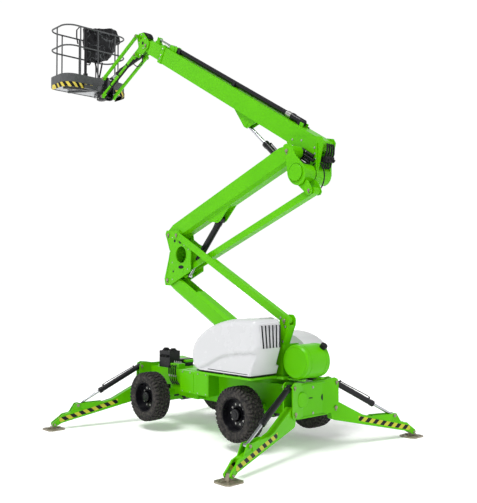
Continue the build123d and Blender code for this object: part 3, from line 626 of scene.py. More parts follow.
def moulded_face(shape, outline, inner_y, outer_y, rounding, relief, step=0.016):
    """A moulded cover as one smooth skin with rolled edges and a relief on its side."""
    low_x, low_z = min(p[0] for p in outline), min(p[1] for p in outline)
    wide = int((max(p[0] for p in outline) - low_x) / step) + 2
    tall = int((max(p[1] for p in outline) - low_z) / step) + 2
    skin = {}
    for i in range(wide + 1):
        for j in range(tall + 1):
            x, z = low_x + (i - 0.5) * step, low_z + (j - 0.5) * step
            depth, near = inside_by(x, z, outline)
            if depth < -0.98 * step:
                continue
            if depth < 0.25 * step:
                (x, z), depth = near, 0.0
            turn = rounding(x, z)
            rise = math.sqrt(max(0.0, turn ** 2 - (turn - min(depth, turn)) ** 2))
            y = outer_y - (turn - rise) - relief(x, z) * eased(depth / 0.05)
            skin[i, j] = shape.verts.new(at(x, y, z))
    for i in range(wide):
        for j in range(tall):
            ring = [skin.get(key) for key in ((i, j), (i + 1, j), (i + 1, j + 1), (i, j + 1))]
            if sum(v is not None for v in ring) >= 3:
                shape.faces.new([v for v in ring if v])
    bmesh.ops.remove_doubles(shape, verts=shape.verts, dist=0.001)
    middle = Vector((low_x + wide * step / 2 + MIDDLE, 0, low_z + tall * step / 2))
    rim = [edge for edge in shape.edges if edge.is_boundary]
    for reach, inset in ((0.09, 0.0), (0.045, 0.012), (0.015, 0.034), (0.0, 0.07)):
        made = bmesh.ops.extrude_edge_only(shape, edges=rim)["geom"]
        rim = [edge for edge in made if isinstance(edge, bmesh.types.BMEdge)]
        for vert in [v for v in made if isinstance(v, bmesh.types.BMVert)]:
            inward = Vector((middle.x - vert.co.x, 0, middle.z - vert.co.z)).normalized()
            drawn_in = inset * (vert.co.z > 1.3)
            vert.co = Vector((vert.co.x, inner_y + reach, vert.co.z)) + inward * drawn_in


shell = bmesh.new()
outline = [(-1.7, 1.78)] + smooth_line(NOSE[:-1], 4) + [
    (-0.42, 1.166), (-1.54, 1.166), (-1.56, 1.178), (-1.676, 1.515), (-1.7, 1.6)]
moulded_face(shell, outline, 0.452, 1.0, cowl_rounding, cowl_relief)
piece("cowl_skin_left", "turntable", "white_cowl", shell, replaced=("cowl_left",))
# black strips between the louvre lips: painted shade for the dark inside the cowl's vent slots
louvre_shade, fins = bmesh.new(), bmesh.new()
for k in range(6):
    top, foot = at(-1.701, 0.9 - 0.074 * k, 1.9), at(-1.701, 0.862 - 0.066 * k, 1.57)
    half, edge = ACROSS * 0.021, ACROSS * 0.006
    plate(louvre_shade, [top - half, top + half, foot + half, foot - half], ALONG * 0.004, ALONG * -0.007)
    top, foot = top + half * 0.9, foot + half * 0.9
    plate(fins, [top, top + edge, foot + edge, foot], ALONG * 0.004, ALONG * -0.016)
piece("cowl_louvre_painted_shade", "turntable", "louvre_black", louvre_shade, bevel=0.002)
piece("cowl_louvre_lips", "turntable", "white_cowl", fins, bevel=0.002)
trim = bmesh.new()
plate(trim, side_view([(-0.62, 1.205), (-1.5, 1.196), (-1.5, 1.186), (-0.62, 1.192)], 0.984),
      ACROSS * -0.004, ACROSS * 0.005)
boxes(trim, ((-1.53, 0.47, 1.15), (-0.33, 0.965, 1.166)))
plate(trim, [at(-1.58, 0.52, 1.99), at(-1.48, 0.5, 1.99), at(-1.44, 0.7, 1.989),
             at(-1.5, 0.74, 1.989)], UP * -0.006, UP * 0.012)
piece("cowl_seals", "turntable", "louvre_black", trim, bevel=0.003)

FAR_NOSE = [(-1.395, 1.33), (-1.33, 1.49), (-1.18, 1.61), (-0.96, 1.685), (-0.72, 1.705),
            (-0.52, 1.66), (-0.345, 1.51), (-0.262, 1.34), (-0.275, 1.2), (-0.36, 1.168)]
shell = bmesh.new()
outline = [(-1.35, 1.168), (-1.395, 1.21)] + smooth_line(FAR_NOSE, 4)
moulded_shell(shell, outline, -0.452, -1.0, 0.105)
piece("cowl_shell_right", "turntable", "white_cowl", shell, replaced=("cowl_right",))

cap = bmesh.new()
turned(cap, at(-2.018, -0.03, 1.53), (-0.048, 0, 0.052),
       [(0.02, 0.05), (0.052, 0.05), (0.064, 0.054), (0.09, 0.054), (0.098, 0.046), (0.1, 0.0)], 20)
piece("tank_cap", "turntable", "hose_rubber", cap, bevel=0.002)
straps = bmesh.new()
STRAP = [(-0.004, 0.249), (-0.004, 0.2535), (0.004, 0.2535), (0.004, 0.249)]
END_SEAM = [(-0.014, 0.226), (0.006, 0.226), (0.006, 0.214), (-0.014, 0.214)]
for y, ring in ((-0.02, STRAP), (0.3, STRAP), (0.398, END_SEAM)):
    rolled(straps, at(TANK[0], y, TANK[1]), ACROSS, ring, 72)
piece("tank_seams", "turntable", "green_paint", straps)


# ---- chassis and outriggers

BACK = -ALONG
rear = bmesh.new()
turned(rear, at(-1.868, 0.262, 0.8), BACK,
       [(0, 0.116), (0.04, 0.116), (0.052, 0.106), (0.056, 0.0)], 40)
for low, high in ((1.0, 1.024), (0.524, 0.544)):
    boxes(rear, ((-1.89, -0.33, low), (-1.868, 0.33, high)))
piece("rear_plate_ribs", "chassis", "green_paint", rear, bevel=0.004)
# a black slot and a black round patch on the rear plate: painted shade for the dark inside its openings
opening_shade = bmesh.new()
plate(opening_shade, [at(-1.88, y, z) for y, z in ((0.01, 0.796), (0.09, 0.8), (0.09, 0.816), (0.01, 0.812))],
      ALONG * 0.006, ALONG * -0.003)
turned(opening_shade, at(-1.874, -0.235, 0.79), BACK, [(0, 0.052), (0.003, 0.052)], 24)
piece("rear_plate_painted_opening_shade", "chassis", "louvre_black", opening_shade)
bolts = bmesh.new()
bolt_row(bolts, [at(-1.876, y, z) for y in (-0.29, 0.29, 0.0) for z in (0.96, 0.58)], BACK, 0.014)
bolt_row(bolts, [at(-0.95, 0, 1.085) + (ALONG * math.cos(a) + ACROSS * math.sin(a)) * 0.415
                 for a in turns(24)], UP, 0.01)
bolt_pairs(bolts, [(x, z) for x in (-0.06, 0.14, 0.34, 0.54) for z in (1.015, 0.7)], 0.0, 0.551, 0.011)
piece("chassis_bolts", "chassis", "bright_bolts", bolts)
doors = bmesh.new()
for low, high in ((-0.556, -0.548), (0.548, 0.556)):
    boxes(doors, ((-0.118, low, 0.682), (0.228, high, 1.0)), ((0.252, low, 0.682), (0.598, high, 1.0)))
boxes(doors, ((0.2, -0.5, 0.585), (0.52, -0.33, 0.672)), ((0.2, 0.33, 0.585), (0.52, 0.5, 0.672)))
piece("side_box_doors", "chassis", "green_paint", doors, bevel=0.004)
under = bmesh.new()
for end in (-1, 1):
    x = end * HUB[0]
    turned(under, at(x, -0.16, HUB[2]), ACROSS,
           [(0, 0.1), (0.05, 0.135), (0.27, 0.135), (0.32, 0.1)], 32)
    for y in (-0.44, 0.44):
        boxes(under, ((x - 0.05, y - 0.055, 0.665), (x + 0.05, y + 0.055, 0.735)))
    turned(under, at(end * 0.93, -0.42, HUB[2]), ACROSS, [(0, 0.016), (0.84, 0.016)], 12)
boxes(under, ((-0.75, -0.15, 0.5), (-0.15, 0.18, 0.561)))
piece("axle_housings", "chassis", "black_paint", under, bevel=0.006)

ears = bmesh.new()
for x in (1.225, 1.425):
    plate(ears, [at(x, 0.115, 1.28), at(x, 0.175, 1.335), at(x, 0.235, 1.335), at(x, 0.295, 1.28)],
          (0, 0, 0), ALONG * 0.05)
discs(ears, side_view([(x, 1.2) for x in (1.26, 1.34, 1.42)], 0.32), ACROSS,
      [(0, 0.024), (0.03, 0.024), (0.035, 0.018), (0.05, 0.018)], 12)
piece("rest_ears", "chassis", "hose_rubber", ears, bevel=0.006)
plumbing = bmesh.new()
for k, x in enumerate((1.05, 1.11, 1.17, 0.99)):
    tube_along(plumbing, [at(x, 0.3 + 0.01 * k, 1.06), at(x + 0.02, 0.345, 1.03),
                          at(x + 0.01, 0.352, 0.92), at(x - 0.03, 0.35, 0.8),
                          at(x - 0.1, 0.346, 0.74)], 0.011)
piece("valve_hoses", "chassis", "hose_rubber", plumbing)
fittings = bmesh.new()
for x in (0.98, 1.04, 1.1, 1.16):
    turned(fittings, at(x, 0.24, 1.083), UP,
           [(0, 0.014), (0.02, 0.014), (0.024, 0.009), (0.04, 0.009)], 10)
    turned(fittings, at(x, 0.347, 0.88), ACROSS, [(0, 0.018), (0.012, 0.018)], 10)
piece("valve_fittings", "chassis", "bright_bolts", fittings)
saddle = bmesh.new()
plate(saddle, side_view([(1.16, 1.07), (1.55, 1.125), (1.56, 1.15), (1.16, 1.11)], -0.1),
      ACROSS * -0.16, ACROSS * 0.24)
boxes(saddle, ((0.96, 0.16, 1.0), (1.19, 0.31, 1.085)))
piece("front_saddle", "chassis", "green_paint", saddle, bevel=0.005)


def upper_side(square, line):
    """The direction square to two others that looks up."""
    upward = square.cross(line).normalized()
    return upward if upward.z > 0 else -upward


for corner, (sx, sy) in CORNERS.items():
    out = Vector((sx * math.sin(LEG_LEAN), sy * math.cos(LEG_LEAN), 0))
    square = out.cross(UP)
    root = at(sx * LEG_ROOT[0], sy * LEG_ROOT[1], 0)

    def spot(reach, height, off=0.0):
        return root + out * reach + UP * height + square * off

    foot, eye = spot(0.02, 1.0), spot(1.18, 0.385)
    line = (eye - foot).normalized()
    gland = bmesh.new()
    turned(gland, foot, line, [(0.8, 0.0455), (0.806, 0.05), (0.862, 0.05), (0.868, 0.04),
                               (0.872, 0.0235)], 24)
    turned(gland, foot, line, [(0.05, 0.0455), (0.056, 0.049), (0.09, 0.049), (0.096, 0.0455)], 24)
    piece(f"leg_gland_{corner}", f"leg_barrel_{corner}", "black_paint", gland)
    ports = bmesh.new()
    upward = upper_side(square, line)
    discs(ports, [foot + line * reach + upward * 0.04 for reach in (0.12, 0.76)], upward,
          [(0, 0.016), (0.016, 0.016), (0.02, 0.01), (0.032, 0.01)], 10)
    tube_along(ports, [foot + line * reach + upward * off for reach, off in
                       ((0.76, 0.066), (0.72, 0.072), (0.2, 0.058), (0.14, 0.06))], 0.007)
    piece(f"leg_ram_pipe_{corner}", f"leg_barrel_{corner}", "black_paint", ports)
    web = bmesh.new()
    for off in (-0.068, 0.052):
        plate(web, [spot(1.15, 0.416), spot(0.76, 0.424), spot(0.69, 0.4), spot(1.1, 0.3)],
              square * off, square * 0.016)
    piece(f"leg_web_{corner}", f"leg_{corner}", "green_paint", web, bevel=0.003)
    bracket, leg = bmesh.new(), bmesh.new()
    for out_by in (-1, 1):
        for pins, reach, height, off, radius in (
                (bracket, 0, 0.62, 0.097, 0.026), (bracket, 0.02, 1.0, 0.095, 0.022),
                (leg, 1.18, 0.385, 0.067, 0.026), (leg, 1.58, 0.09, 0.069, 0.018)):
            pin_cap(pins, spot(reach, height, out_by * off), square * out_by, radius, pins is bracket)
    piece(f"bracket_pins_{corner}", "chassis", "zinc_steel", bracket, bevel=0.001)
    piece(f"leg_pins_{corner}", f"leg_{corner}", "zinc_steel", leg, bevel=0.001)
    pad = bmesh.new()
    centre = spot(1.58, 0.02)
    bolt_row(pad, [centre + ALONG * a + ACROSS * b for a in (-0.095, 0.095) for b in (-0.095, 0.095)],
             UP, 0.014)
    for rib, other in ((ALONG, ACROSS), (ACROSS, ALONG)):
        plate(pad, [centre + rib * a + other * b for a, b in
                    ((-0.125, -0.006), (0.125, -0.006), (0.125, 0.006), (-0.125, 0.006))],
              UP * -0.001, UP * 0.018)
    piece(f"pad_ribs_{corner}", f"foot_{corner}", "zinc_steel", pad, bevel=0.002)


# ---- riser

def pins_on(name, body, places, y, out, radius):
    shape = bmesh.new()
    for place in side_view(places, y):
        pin_cap(shape, place, ACROSS * out, radius)
    piece(name, body, "zinc_steel", shape, bevel=0.001)


KNUCKLE_PINS = [(1.28, 2.55), (1.26, 3.35), (0.84, 2.72)]
for name, body, places, y, out, radius in (
        ("mid_knuckle_pins_near", "mid_knuckle", KNUCKLE_PINS[:2], RISER_Y + 0.154, 1, 0.028),
        ("mid_knuckle_pins_far", "mid_knuckle", KNUCKLE_PINS, RISER_Y - 0.154, -1, 0.028),
        ("tie_head_pin", "mid_knuckle", [(1.0, 3.34)], RISER_Y + 0.18, 1, 0.025),
        ("tie_foot_pin", "turntable", [(-1.635, 1.95)], RISER_Y + 0.206, 1, 0.025),
        ("top_knuckle_pins_near", "top_knuckle", [(-1.64, 4.49)], RISER_Y + 0.148, 1, 0.028),
        ("tie_head_pins_near", "top_knuckle", [(-2.06, 3.86)], RISER_Y + 0.126, 1, 0.022),
        ("main_pivot_pin", "top_knuckle", [(-1.93, 4.6)], MAIN_Y - 0.152, -1, 0.034)):
    pins_on(name, body, places, y, out, radius)

rims = bmesh.new()
NEAR_FACE = RISER_Y + 0.148
rolled(rims, at(0.9, NEAR_FACE, 2.99), ACROSS,
       [(-0.019, 0.146), (0.004, 0.146), (0.004, 0.158), (-0.001, 0.16)], 56)
for x0, z0, x1, z1 in ((1.345, 2.47, 1.22, 3.05), (1.22, 3.07, 1.335, 3.36)):
    inward = Vector((z0 - z1, 0, x1 - x0)).normalized() * 0.012
    for y in (NEAR_FACE, RISER_Y - 0.154):
        low, high = at(x0, y, z0), at(x1, y, z1)
        plate(rims, [low, high, high + inward, low + inward], (0, 0, 0), ACROSS * 0.006)
piece("mid_knuckle_rims", "mid_knuckle", "green_paint", rims, bevel=0.002)
# black ovals on the knuckle's near face: painted shade for the dark inside its holes and slots
hole_shade = bmesh.new()
for x, z, w, h in ((0.9, 2.775, 0.075, 0.03), (0.925, 3.225, 0.04, 0.04),
                   (1.12, 2.7, 0.018, 0.018), (1.08, 3.24, 0.026, 0.026)):
    plate(hole_shade, side_view([(x + w * math.cos(a), z + h * math.sin(a)) for a in turns(24)],
                           NEAR_FACE + 0.001), ACROSS * -0.003, ACROSS * 0.004)
piece("mid_knuckle_painted_hole_shade", "mid_knuckle", "louvre_black", hole_shade)
bolts = bmesh.new()
bolt_pairs(bolts, [(1.15, 2.56), (0.72, 2.74), (0.7, 3.08), (1.15, 3.3), (0.82, 3.15),
                   (1.15, 2.86)], RISER_Y, 0.141, 0.012)
piece("mid_knuckle_bolts", "mid_knuckle", "bright_bolts", bolts)
bolts = bmesh.new()
bolt_row(bolts, side_view([(-1.655, 1.86), (-1.56, 1.99), (-1.6, 1.64)], RISER_Y + 0.198),
         ACROSS, 0.014)
piece("tower_bolts", "turntable", "bright_bolts", bolts)


def ram_fittings(name, start, end, mouth, radius, rod_radius, y, swell=1.12):
    """Gland, base collar, ports and hard line of a cylinder in the side view."""
    foot, tip = side_view([start, end], y)
    line = (tip - foot).normalized()
    gland = bmesh.new()
    turned(gland, foot, line, [(mouth - 0.06, radius), (mouth - 0.054, radius * swell),
                               (mouth + 0.01, radius * swell), (mouth + 0.018, radius * 0.9),
                               (mouth + 0.02, rod_radius + 0.002)], 28)
    turned(gland, foot, line, [(0.055, radius), (0.06, radius * 1.1), (0.11, radius * 1.1),
                               (0.116, radius)], 28)
    piece(f"{name}_ram_gland", f"{name}_barrel", "black_paint", gland)
    above = upper_side(ACROSS, line)
    pipe = bmesh.new()
    discs(pipe, [foot + line * reach + above * radius * 0.9 for reach in (0.14, mouth - 0.09)], above,
          [(0, 0.017), (0.018, 0.017), (0.022, 0.011), (0.034, 0.011)], 10)
    bends = ((mouth - 0.09, 0.026), (mouth - 0.14, 0.02), (0.22, 0.012), (0.15, 0.022))
    tube_along(pipe, [foot + line * reach + above * (radius + off) for reach, off in bends], 0.008)
    piece(f"{name}_ram_pipe", f"{name}_barrel", "black_paint", pipe)


ram_fittings("riser", (0.01, 3.56), (0.85, 2.62), 0.88, 0.054, 0.028, RISER_Y, 1.03)
ram_fittings("luff", (-1.58, 4.01), (-0.312, 5.14), 1.15, 0.055, 0.03, MAIN_Y)
ram_fittings("jib", (2.81, 7.02), (3.97, 6.78), 0.86, 0.038, 0.02, MAIN_Y)


# ---- top knuckle

LOBE = smooth_line([
    (-1.61, 4.47), (-1.642, 4.224), (-1.668, 4.09), (-1.75, 3.99), (-1.862, 3.95), (-1.97, 3.99),
    (-2.006, 4.1), (-1.989, 4.22), (-1.915, 4.305), (-1.8, 4.425), (-1.742, 4.56), (-1.69, 4.592),
    (-1.59, 4.592), (-1.56, 4.54)], 4)
HEAD_EAR = [(-1.8, 4.03), (-1.93, 4.06), (-2.03, 4.01), (-2.085, 3.92), (-2.11, 3.85),
            (-2.085, 3.808), (-2.03, 3.8), (-1.96, 3.85), (-1.83, 3.96)]
TIE_PIN = (-2.06, 3.86)
EAR_OUT = 0.122
solid = bmesh.new()
solid.from_mesh(frame["nodes"]["top_knuckle"].data)
solid.transform(frame["nodes"]["top_knuckle"].matrix_world)


def at_tie_pin(face):
    return all(math.hypot(v.co.x - MIDDLE - TIE_PIN[0], v.co.z - TIE_PIN[1]) < 0.06 for v in face.verts)


def leaves(face):
    """Whether a face belongs to the plates and pin ends that the cheeks stand for."""
    sides = [v.co.y - RISER_Y for v in face.verts]
    if min(sides) > 0.126 or (min(sides) > -0.157 and max(sides) < -0.126):
        return True
    return at_tie_pin(face) and (min(sides) > 0.121 or max(sides) < -0.121) and max(sides) > -0.16


for off in (EAR_OUT, -EAR_OUT):
    parts = [face for face in solid.faces if at_tie_pin(face)]
    corners = list({v for face in parts for v in face.verts})
    edges = list({e for face in parts for e in face.edges})
    bmesh.ops.bisect_plane(solid, geom=parts + corners + edges,
                           plane_co=(0, RISER_Y + off, 0), plane_no=ACROSS)
bmesh.ops.delete(solid, geom=[face for face in solid.faces if leaves(face)], context="FACES")
cheek = bmesh.new()
plate(cheek, side_view(LOBE, RISER_Y + 0.128), (0, 0, 0), ACROSS * 0.02)
for y in (-0.116, 0.098):
    plate(cheek, side_view(HEAD_EAR, RISER_Y + y), (0, 0, 0), ACROSS * 0.018)
for out in (1, -1):
    turned(cheek, at(TIE_PIN[0], RISER_Y + out * 0.116, TIE_PIN[1]), ACROSS * out,
           [(0, 0.034), (0.004, 0.034), (0.004, 0.03), (0.01, 0.03)], 24)
piece("top_knuckle_cheeks", "top_knuckle", "green_paint", cheek, bevel=0.003)
piece("top_knuckle_body", "top_knuckle", "green_paint", solid, replaced=("top_knuckle",))
drum = bmesh.new()
DRUM_CAP = [(0, 0.128), (0.01, 0.128), (0.016, 0.12), (0.016, 0.0)]
turned(drum, at(DRUM[0], NEAR_FACE + 0.008, DRUM[1]), ACROSS, DRUM_CAP, 48)
rolled(drum, at(DRUM[0], NEAR_FACE + 0.002, DRUM[1]), ACROSS,
       [(-0.004, 0.139), (0.004, 0.146), (0.004, 0.152), (-0.004, 0.154)], 56)
turned(drum, at(DRUM[0], MAIN_Y - 0.153, DRUM[1]), -ACROSS, DRUM_CAP, 48)
boxes(drum, ((-1.968, -0.026, 4.13), (-1.954, 0.004, 4.6)),
      ((-1.968, MAIN_Y - 0.175, 4.13), (-1.954, MAIN_Y - 0.144, 4.6)))
piece("top_knuckle_drum_caps", "top_knuckle", "green_paint", drum, bevel=0.002)
gear = bmesh.new()
start, end = at(-1.44, 0.006, 4.632), at(-1.905, 0.006, 4.34)
line = (end - start).normalized()
down = -upper_side(ACROSS, line)
for off, low, high in ((0.01, 0.0, 0.2), (0.0, 0.14, 0.56), (0.056, 0.13, 0.5), (-0.054, 0.24, 0.52)):
    run = high - low
    turned(gear, start + down * off + line * low, line,
           [(0, 0.016), (0.012, 0.026), (0.1, 0.026), (0.105, 0.021), (0.14, 0.021), (0.145, 0.028),
            (run - 0.02, 0.028), (run, 0.014)], 20)
tube_along(gear, [at(-1.56, 0.02, 4.53), at(-1.62, 0.03, 4.42), at(-1.74, 0.03, 4.33),
                  at(-1.9, 0.02, 4.26), at(-1.955, 0.016, 4.3)], 0.01)
piece("window_ram", "top_knuckle", "black_paint", gear)
gear = bmesh.new()
discs(gear, [start + line * reach + down * off for reach, off in
             ((0.115, 0.01), (0.25, 0.0), (0.235, 0.056), (0.345, -0.054))], line,
      [(0, 0.0225), (0.01, 0.0225)], 12)
boxes(gear, ((-1.655, 0.03, 4.452), (-1.605, 0.04, 4.484)))
turned(gear, at(-1.64, -0.025, 4.49), ACROSS, [(0, 0.045), (0.034, 0.045)], 20)
bolt_row(gear, side_view([(-1.905, 4.54), (-1.905, 4.45), (-1.92, 4.37)], MAIN_Y + 0.145),
         ACROSS, 0.013)
bolt_pairs(gear, [(-1.45, 4.73), (-1.64, 4.69), (-1.8, 4.06), (-1.9, 4.1)], MAIN_Y, 0.145, 0.012)
piece("top_knuckle_fittings", "top_knuckle", "bright_bolts", gear)
block = bmesh.new()
boxes(block, ((-2.085, MAIN_Y - 0.1, 4.315), (-1.985, MAIN_Y + 0.1, 4.4)))
for k, off in enumerate((-0.085, -0.03, 0.025, 0.08)):
    y = MAIN_Y + off
    turned(block, at(-2.082, y, 4.345 + 0.02 * (k % 2)), BACK,
           [(0, 0.02), (0.014, 0.02), (0.018, 0.012), (0.026, 0.012)], 10)
    tube_along(block, [at(-2.06, y, 4.395), at(-2.085, y, 4.44), at(-2.098, MAIN_Y + off * 0.9, 4.52),
                       at(-2.086, MAIN_Y + off * 0.8, 4.59)], 0.014)
    tube_along(block, [at(-2.03, y, 4.32), at(-2.02, y, 4.26), at(-1.985, MAIN_Y + off * 0.7, 4.23)],
               0.012)
piece("top_knuckle_hose_block", "top_knuckle", "hose_rubber", block, bevel=0.002)


# ---- telescopic boom

RISE = Vector((math.cos(BOOM_RISE), 0, math.sin(BOOM_RISE)))
LIFT = Vector((-math.sin(BOOM_RISE), 0, math.cos(BOOM_RISE)))
BOOM_FOOT = at(-1.93, MAIN_Y, 4.6)


def on_boom(reach, height, across=0.0):
    return BOOM_FOOT + RISE * reach + LIFT * height + Vector((0, across, 0))


def boom_blocks(shape, *pairs):
    """Boxes between two (reach, across, height) corners on the boom."""
    turn = Matrix((RISE, ACROSS, LIFT)).transposed().to_4x4()
    for low, high in pairs:
        closed_box(shape, low, high, Matrix.Translation(BOOM_FOOT) @ turn)


part = bmesh.new()
turned(part, on_boom(0.5, 0.145), RISE, [(0, 0.03), (0.01, 0.052), (0.24, 0.052), (0.255, 0.06),
                                           (0.3, 0.06), (0.302, 0.045)], 28)
piece("extension_foot", "main_boom", "black_paint", part)
part = bmesh.new()
turned(part, on_boom(0.802, 0.145), RISE, [(0, 0.045), (0.002, 0.054), (0.1, 0.054), (0.104, 0.047),
                                           (0.13, 0.047), (0.132, 0.0425)], 28)
piece("extension_collar", "main_boom", "bright_bolts", part)
collars = bmesh.new()
for low, high in ((-0.128 * 1.07, -0.128), (0.128, 0.128 * 1.07)):
    for height in (-0.17, -0.1, 0.02):
        boom_blocks(collars, ((4.455, low, height), (4.535, high, height + 0.055)))
for reach in (4.46, 4.51):
    for across in (-0.085, 0.085):
        boom_blocks(collars, ((reach, across - 0.016, 0.1), (reach + 0.034, across + 0.016, 0.12)))
boom_blocks(collars, ((4.26, -0.06, 0.088), (4.4, 0.06, 0.178)),
            ((4.18, -0.05, 0.088), (4.27, -0.038, 0.19)), ((4.18, 0.038, 0.088), (4.27, 0.05, 0.19)))
for reach in (0.5, 4.28):
    for low, high in ((-0.062, -0.05), (0.05, 0.062)):
        boom_blocks(collars, ((reach - 0.04, low, 0.084), (reach + 0.04, high, 0.15)))
piece("boom_head_collars", "main_boom", "green_paint", collars, bevel=0.004)
bolts = bmesh.new()
for out in (1, -1):
    bolt_row(bolts, [on_boom(4.495, height, out * 0.137) for height in (-0.143, -0.073, 0.047)],
             ACROSS * out, 0.013)
bolt_row(bolts, [on_boom(reach, 0.119, across) for reach in (4.477, 4.527)
                 for across in (-0.085, 0.0, 0.085)], LIFT, 0.011)
bolt_row(bolts, [on_boom(4.33, 0.177, across) for across in (-0.026, 0.026)], LIFT, 0.013)
piece("boom_head_bolts", "main_boom", "bright_bolts", bolts)
line_set = bmesh.new()
for across in (-0.068, -0.088):
    tube_along(line_set, [on_boom(0.45, 0.102, across), on_boom(0.6, 0.1, across),
                          on_boom(4.15, 0.1, across)], 0.008)
for reach in (1.0, 1.9, 2.8, 3.7):
    boom_blocks(line_set, ((reach, -0.104, 0.088), (reach + 0.03, -0.052, 0.114)))
piece("boom_top_lines", "main_boom", "black_paint", line_set)
slider = bmesh.new()
for across in (-0.103, 0.1):
    for height in (-0.15, -0.02):
        boom_blocks(slider, ((4.6, across, height), (4.74, across + 0.003, height + 0.05)))
boom_blocks(slider, ((4.8, -0.04, 0.068), (4.93, 0.04, 0.1)),
            ((4.82, -0.034, 0.098), (4.91, -0.024, 0.18)), ((4.82, 0.024, 0.098), (4.91, 0.034, 0.18)))
turned(slider, on_boom(4.865, 0.15, -0.046), ACROSS, [(0, 0.016), (0.092, 0.016)], 14)
piece("inner_boom_lug", "inner_boom", "green_paint", slider, bevel=0.003)
shaft = bmesh.new()
turned(shaft, on_boom(0.7, 0.145), RISE, [(0, 0.018), (4.12, 0.018), (4.122, 0.026), (4.2, 0.026),
                                            (4.206, 0.018)], 20)
piece("extension_rod", "inner_boom", "rod_chrome", shaft)


# ---- jib

JIB_FEET = [(2.81, 7.02), (2.78, 7.39)]
JIB_ENDS = [(4.0, 6.41), (3.97, 6.78)]
for name, body, places, off, radius in (("head_pins", "jib_head", JIB_FEET, 0.166, 0.022),
                                        ("boom_nose_pin", "jib_head", [(2.54, 7.16)], 0.088, 0.027),
                                        ("bracket_pins", "platform_bracket", JIB_ENDS, 0.166, 0.022)):
    for end, out in (("near", 1), ("far", -1)):
        pins_on(f"{name}_{end}", body, places, MAIN_Y + out * off, out, radius)
plugs = bmesh.new()
for across in (-0.084, 0.082):
    for x, z, size in ((2.64, 7.23, 0.03), (2.7, 7.34, 0.02)):
        turned(plugs, at(x, MAIN_Y + across, z), ACROSS, [(-0.002, size), (0.004, size)], 20)
piece("head_plate_plugs", "jib_head", "louvre_black", plugs)
bolts = bmesh.new()
bolt_pairs(bolts, [(2.56, 7.3), (2.68, 7.4), (2.76, 7.27), (2.62, 7.12), (2.74, 7.01)],
           MAIN_Y, 0.082, 0.012)
piece("head_bolts", "jib_head", "bright_bolts", bolts)
guard = bmesh.new()
arc = smooth_line([(2.462, 7.29), (2.48, 7.335), (2.53, 7.4), (2.64, 7.452), (2.74, 7.458)], 4)
inner = [(2.585 + (x - 2.585) * 0.72, 7.3 + (z - 7.3) * 0.66) for x, z in reversed(arc)]
plate(guard, side_view(arc + inner, MAIN_Y - 0.058), (0, 0, 0), ACROSS * 0.116)
piece("head_hose_guard", "jib_head", "hose_rubber", guard, bevel=0.01)
ARM = Vector((1.19, 0, -0.61)).normalized()
for name, start in (("upper", JIB_FEET[1]), ("lower", JIB_FEET[0])):
    shape = bmesh.new()
    for across in (-0.13, 0.13):
        turned(shape, at(start[0], MAIN_Y + across, start[1]), ARM,
               [(0.05, 0.03), (0.054, 0.038), (0.096, 0.038), (0.1, 0.0355), (1.235, 0.0355),
                (1.24, 0.038), (1.284, 0.038), (1.288, 0.03)], 24)
    piece(f"jib_{name}_ferrules", f"jib_{name}_arms", "green_paint", shape)
clips = bmesh.new()
for across in (0.14, 0.119):
    base = at(2.79, MAIN_Y + across, 6.98)
    tube_along(clips, [base + ARM * reach for reach in (0.1, 0.6, 1.2)], 0.009)
discs(clips, [at(2.81, MAIN_Y + 0.13, 7.02) + ARM * reach for reach in (0.3, 0.62, 0.95)], ARM,
      [(0, 0.034), (0.002, 0.04), (0.024, 0.04), (0.026, 0.034)], 16)
piece("jib_hoses_clipped", "jib_lower_arms", "hose_rubber", clips)


# ---- basket

post = bmesh.new()
tube_along(post, [at(4.448, 0.12, 6.64), at(4.448, 0.12, 7.905)], 0.03)
for z in (6.9, 7.47, 7.88):
    boxes(post, ((4.41, 0.085, z), (4.486, 0.155, z + 0.055)))
for y in (-0.33, -0.14):
    tube_along(post, [at(4.5, y, 7.29), at(4.478, -0.235, 6.9)], 0.018)
boxes(post, ((4.44, -0.275, 6.735), (4.5, -0.195, 6.93)))
tube_along(post, [at(4.462, 0.3, 7.56), at(4.462, 0.33, 7.7), at(4.462, 0.33, 7.85),
                  at(4.462, 0.27, 7.925)], 0.015)
tube_along(post, [at(4.48, -0.05, 7.275), at(4.47, 0.01, 7.17), at(4.47, 0.08, 7.16),
                  at(4.47, 0.11, 7.23)], 0.013)
piece("console_posts", "basket", "black_paint", post, bevel=0.003)


def along_table(t, table):
    """A value read from evenly spaced ones, softly."""
    t = min(0.9999, max(0.0, t)) * (len(table) - 1)
    k = int(t)
    return table[k] + (table[k + 1] - table[k]) * eased(t - k)


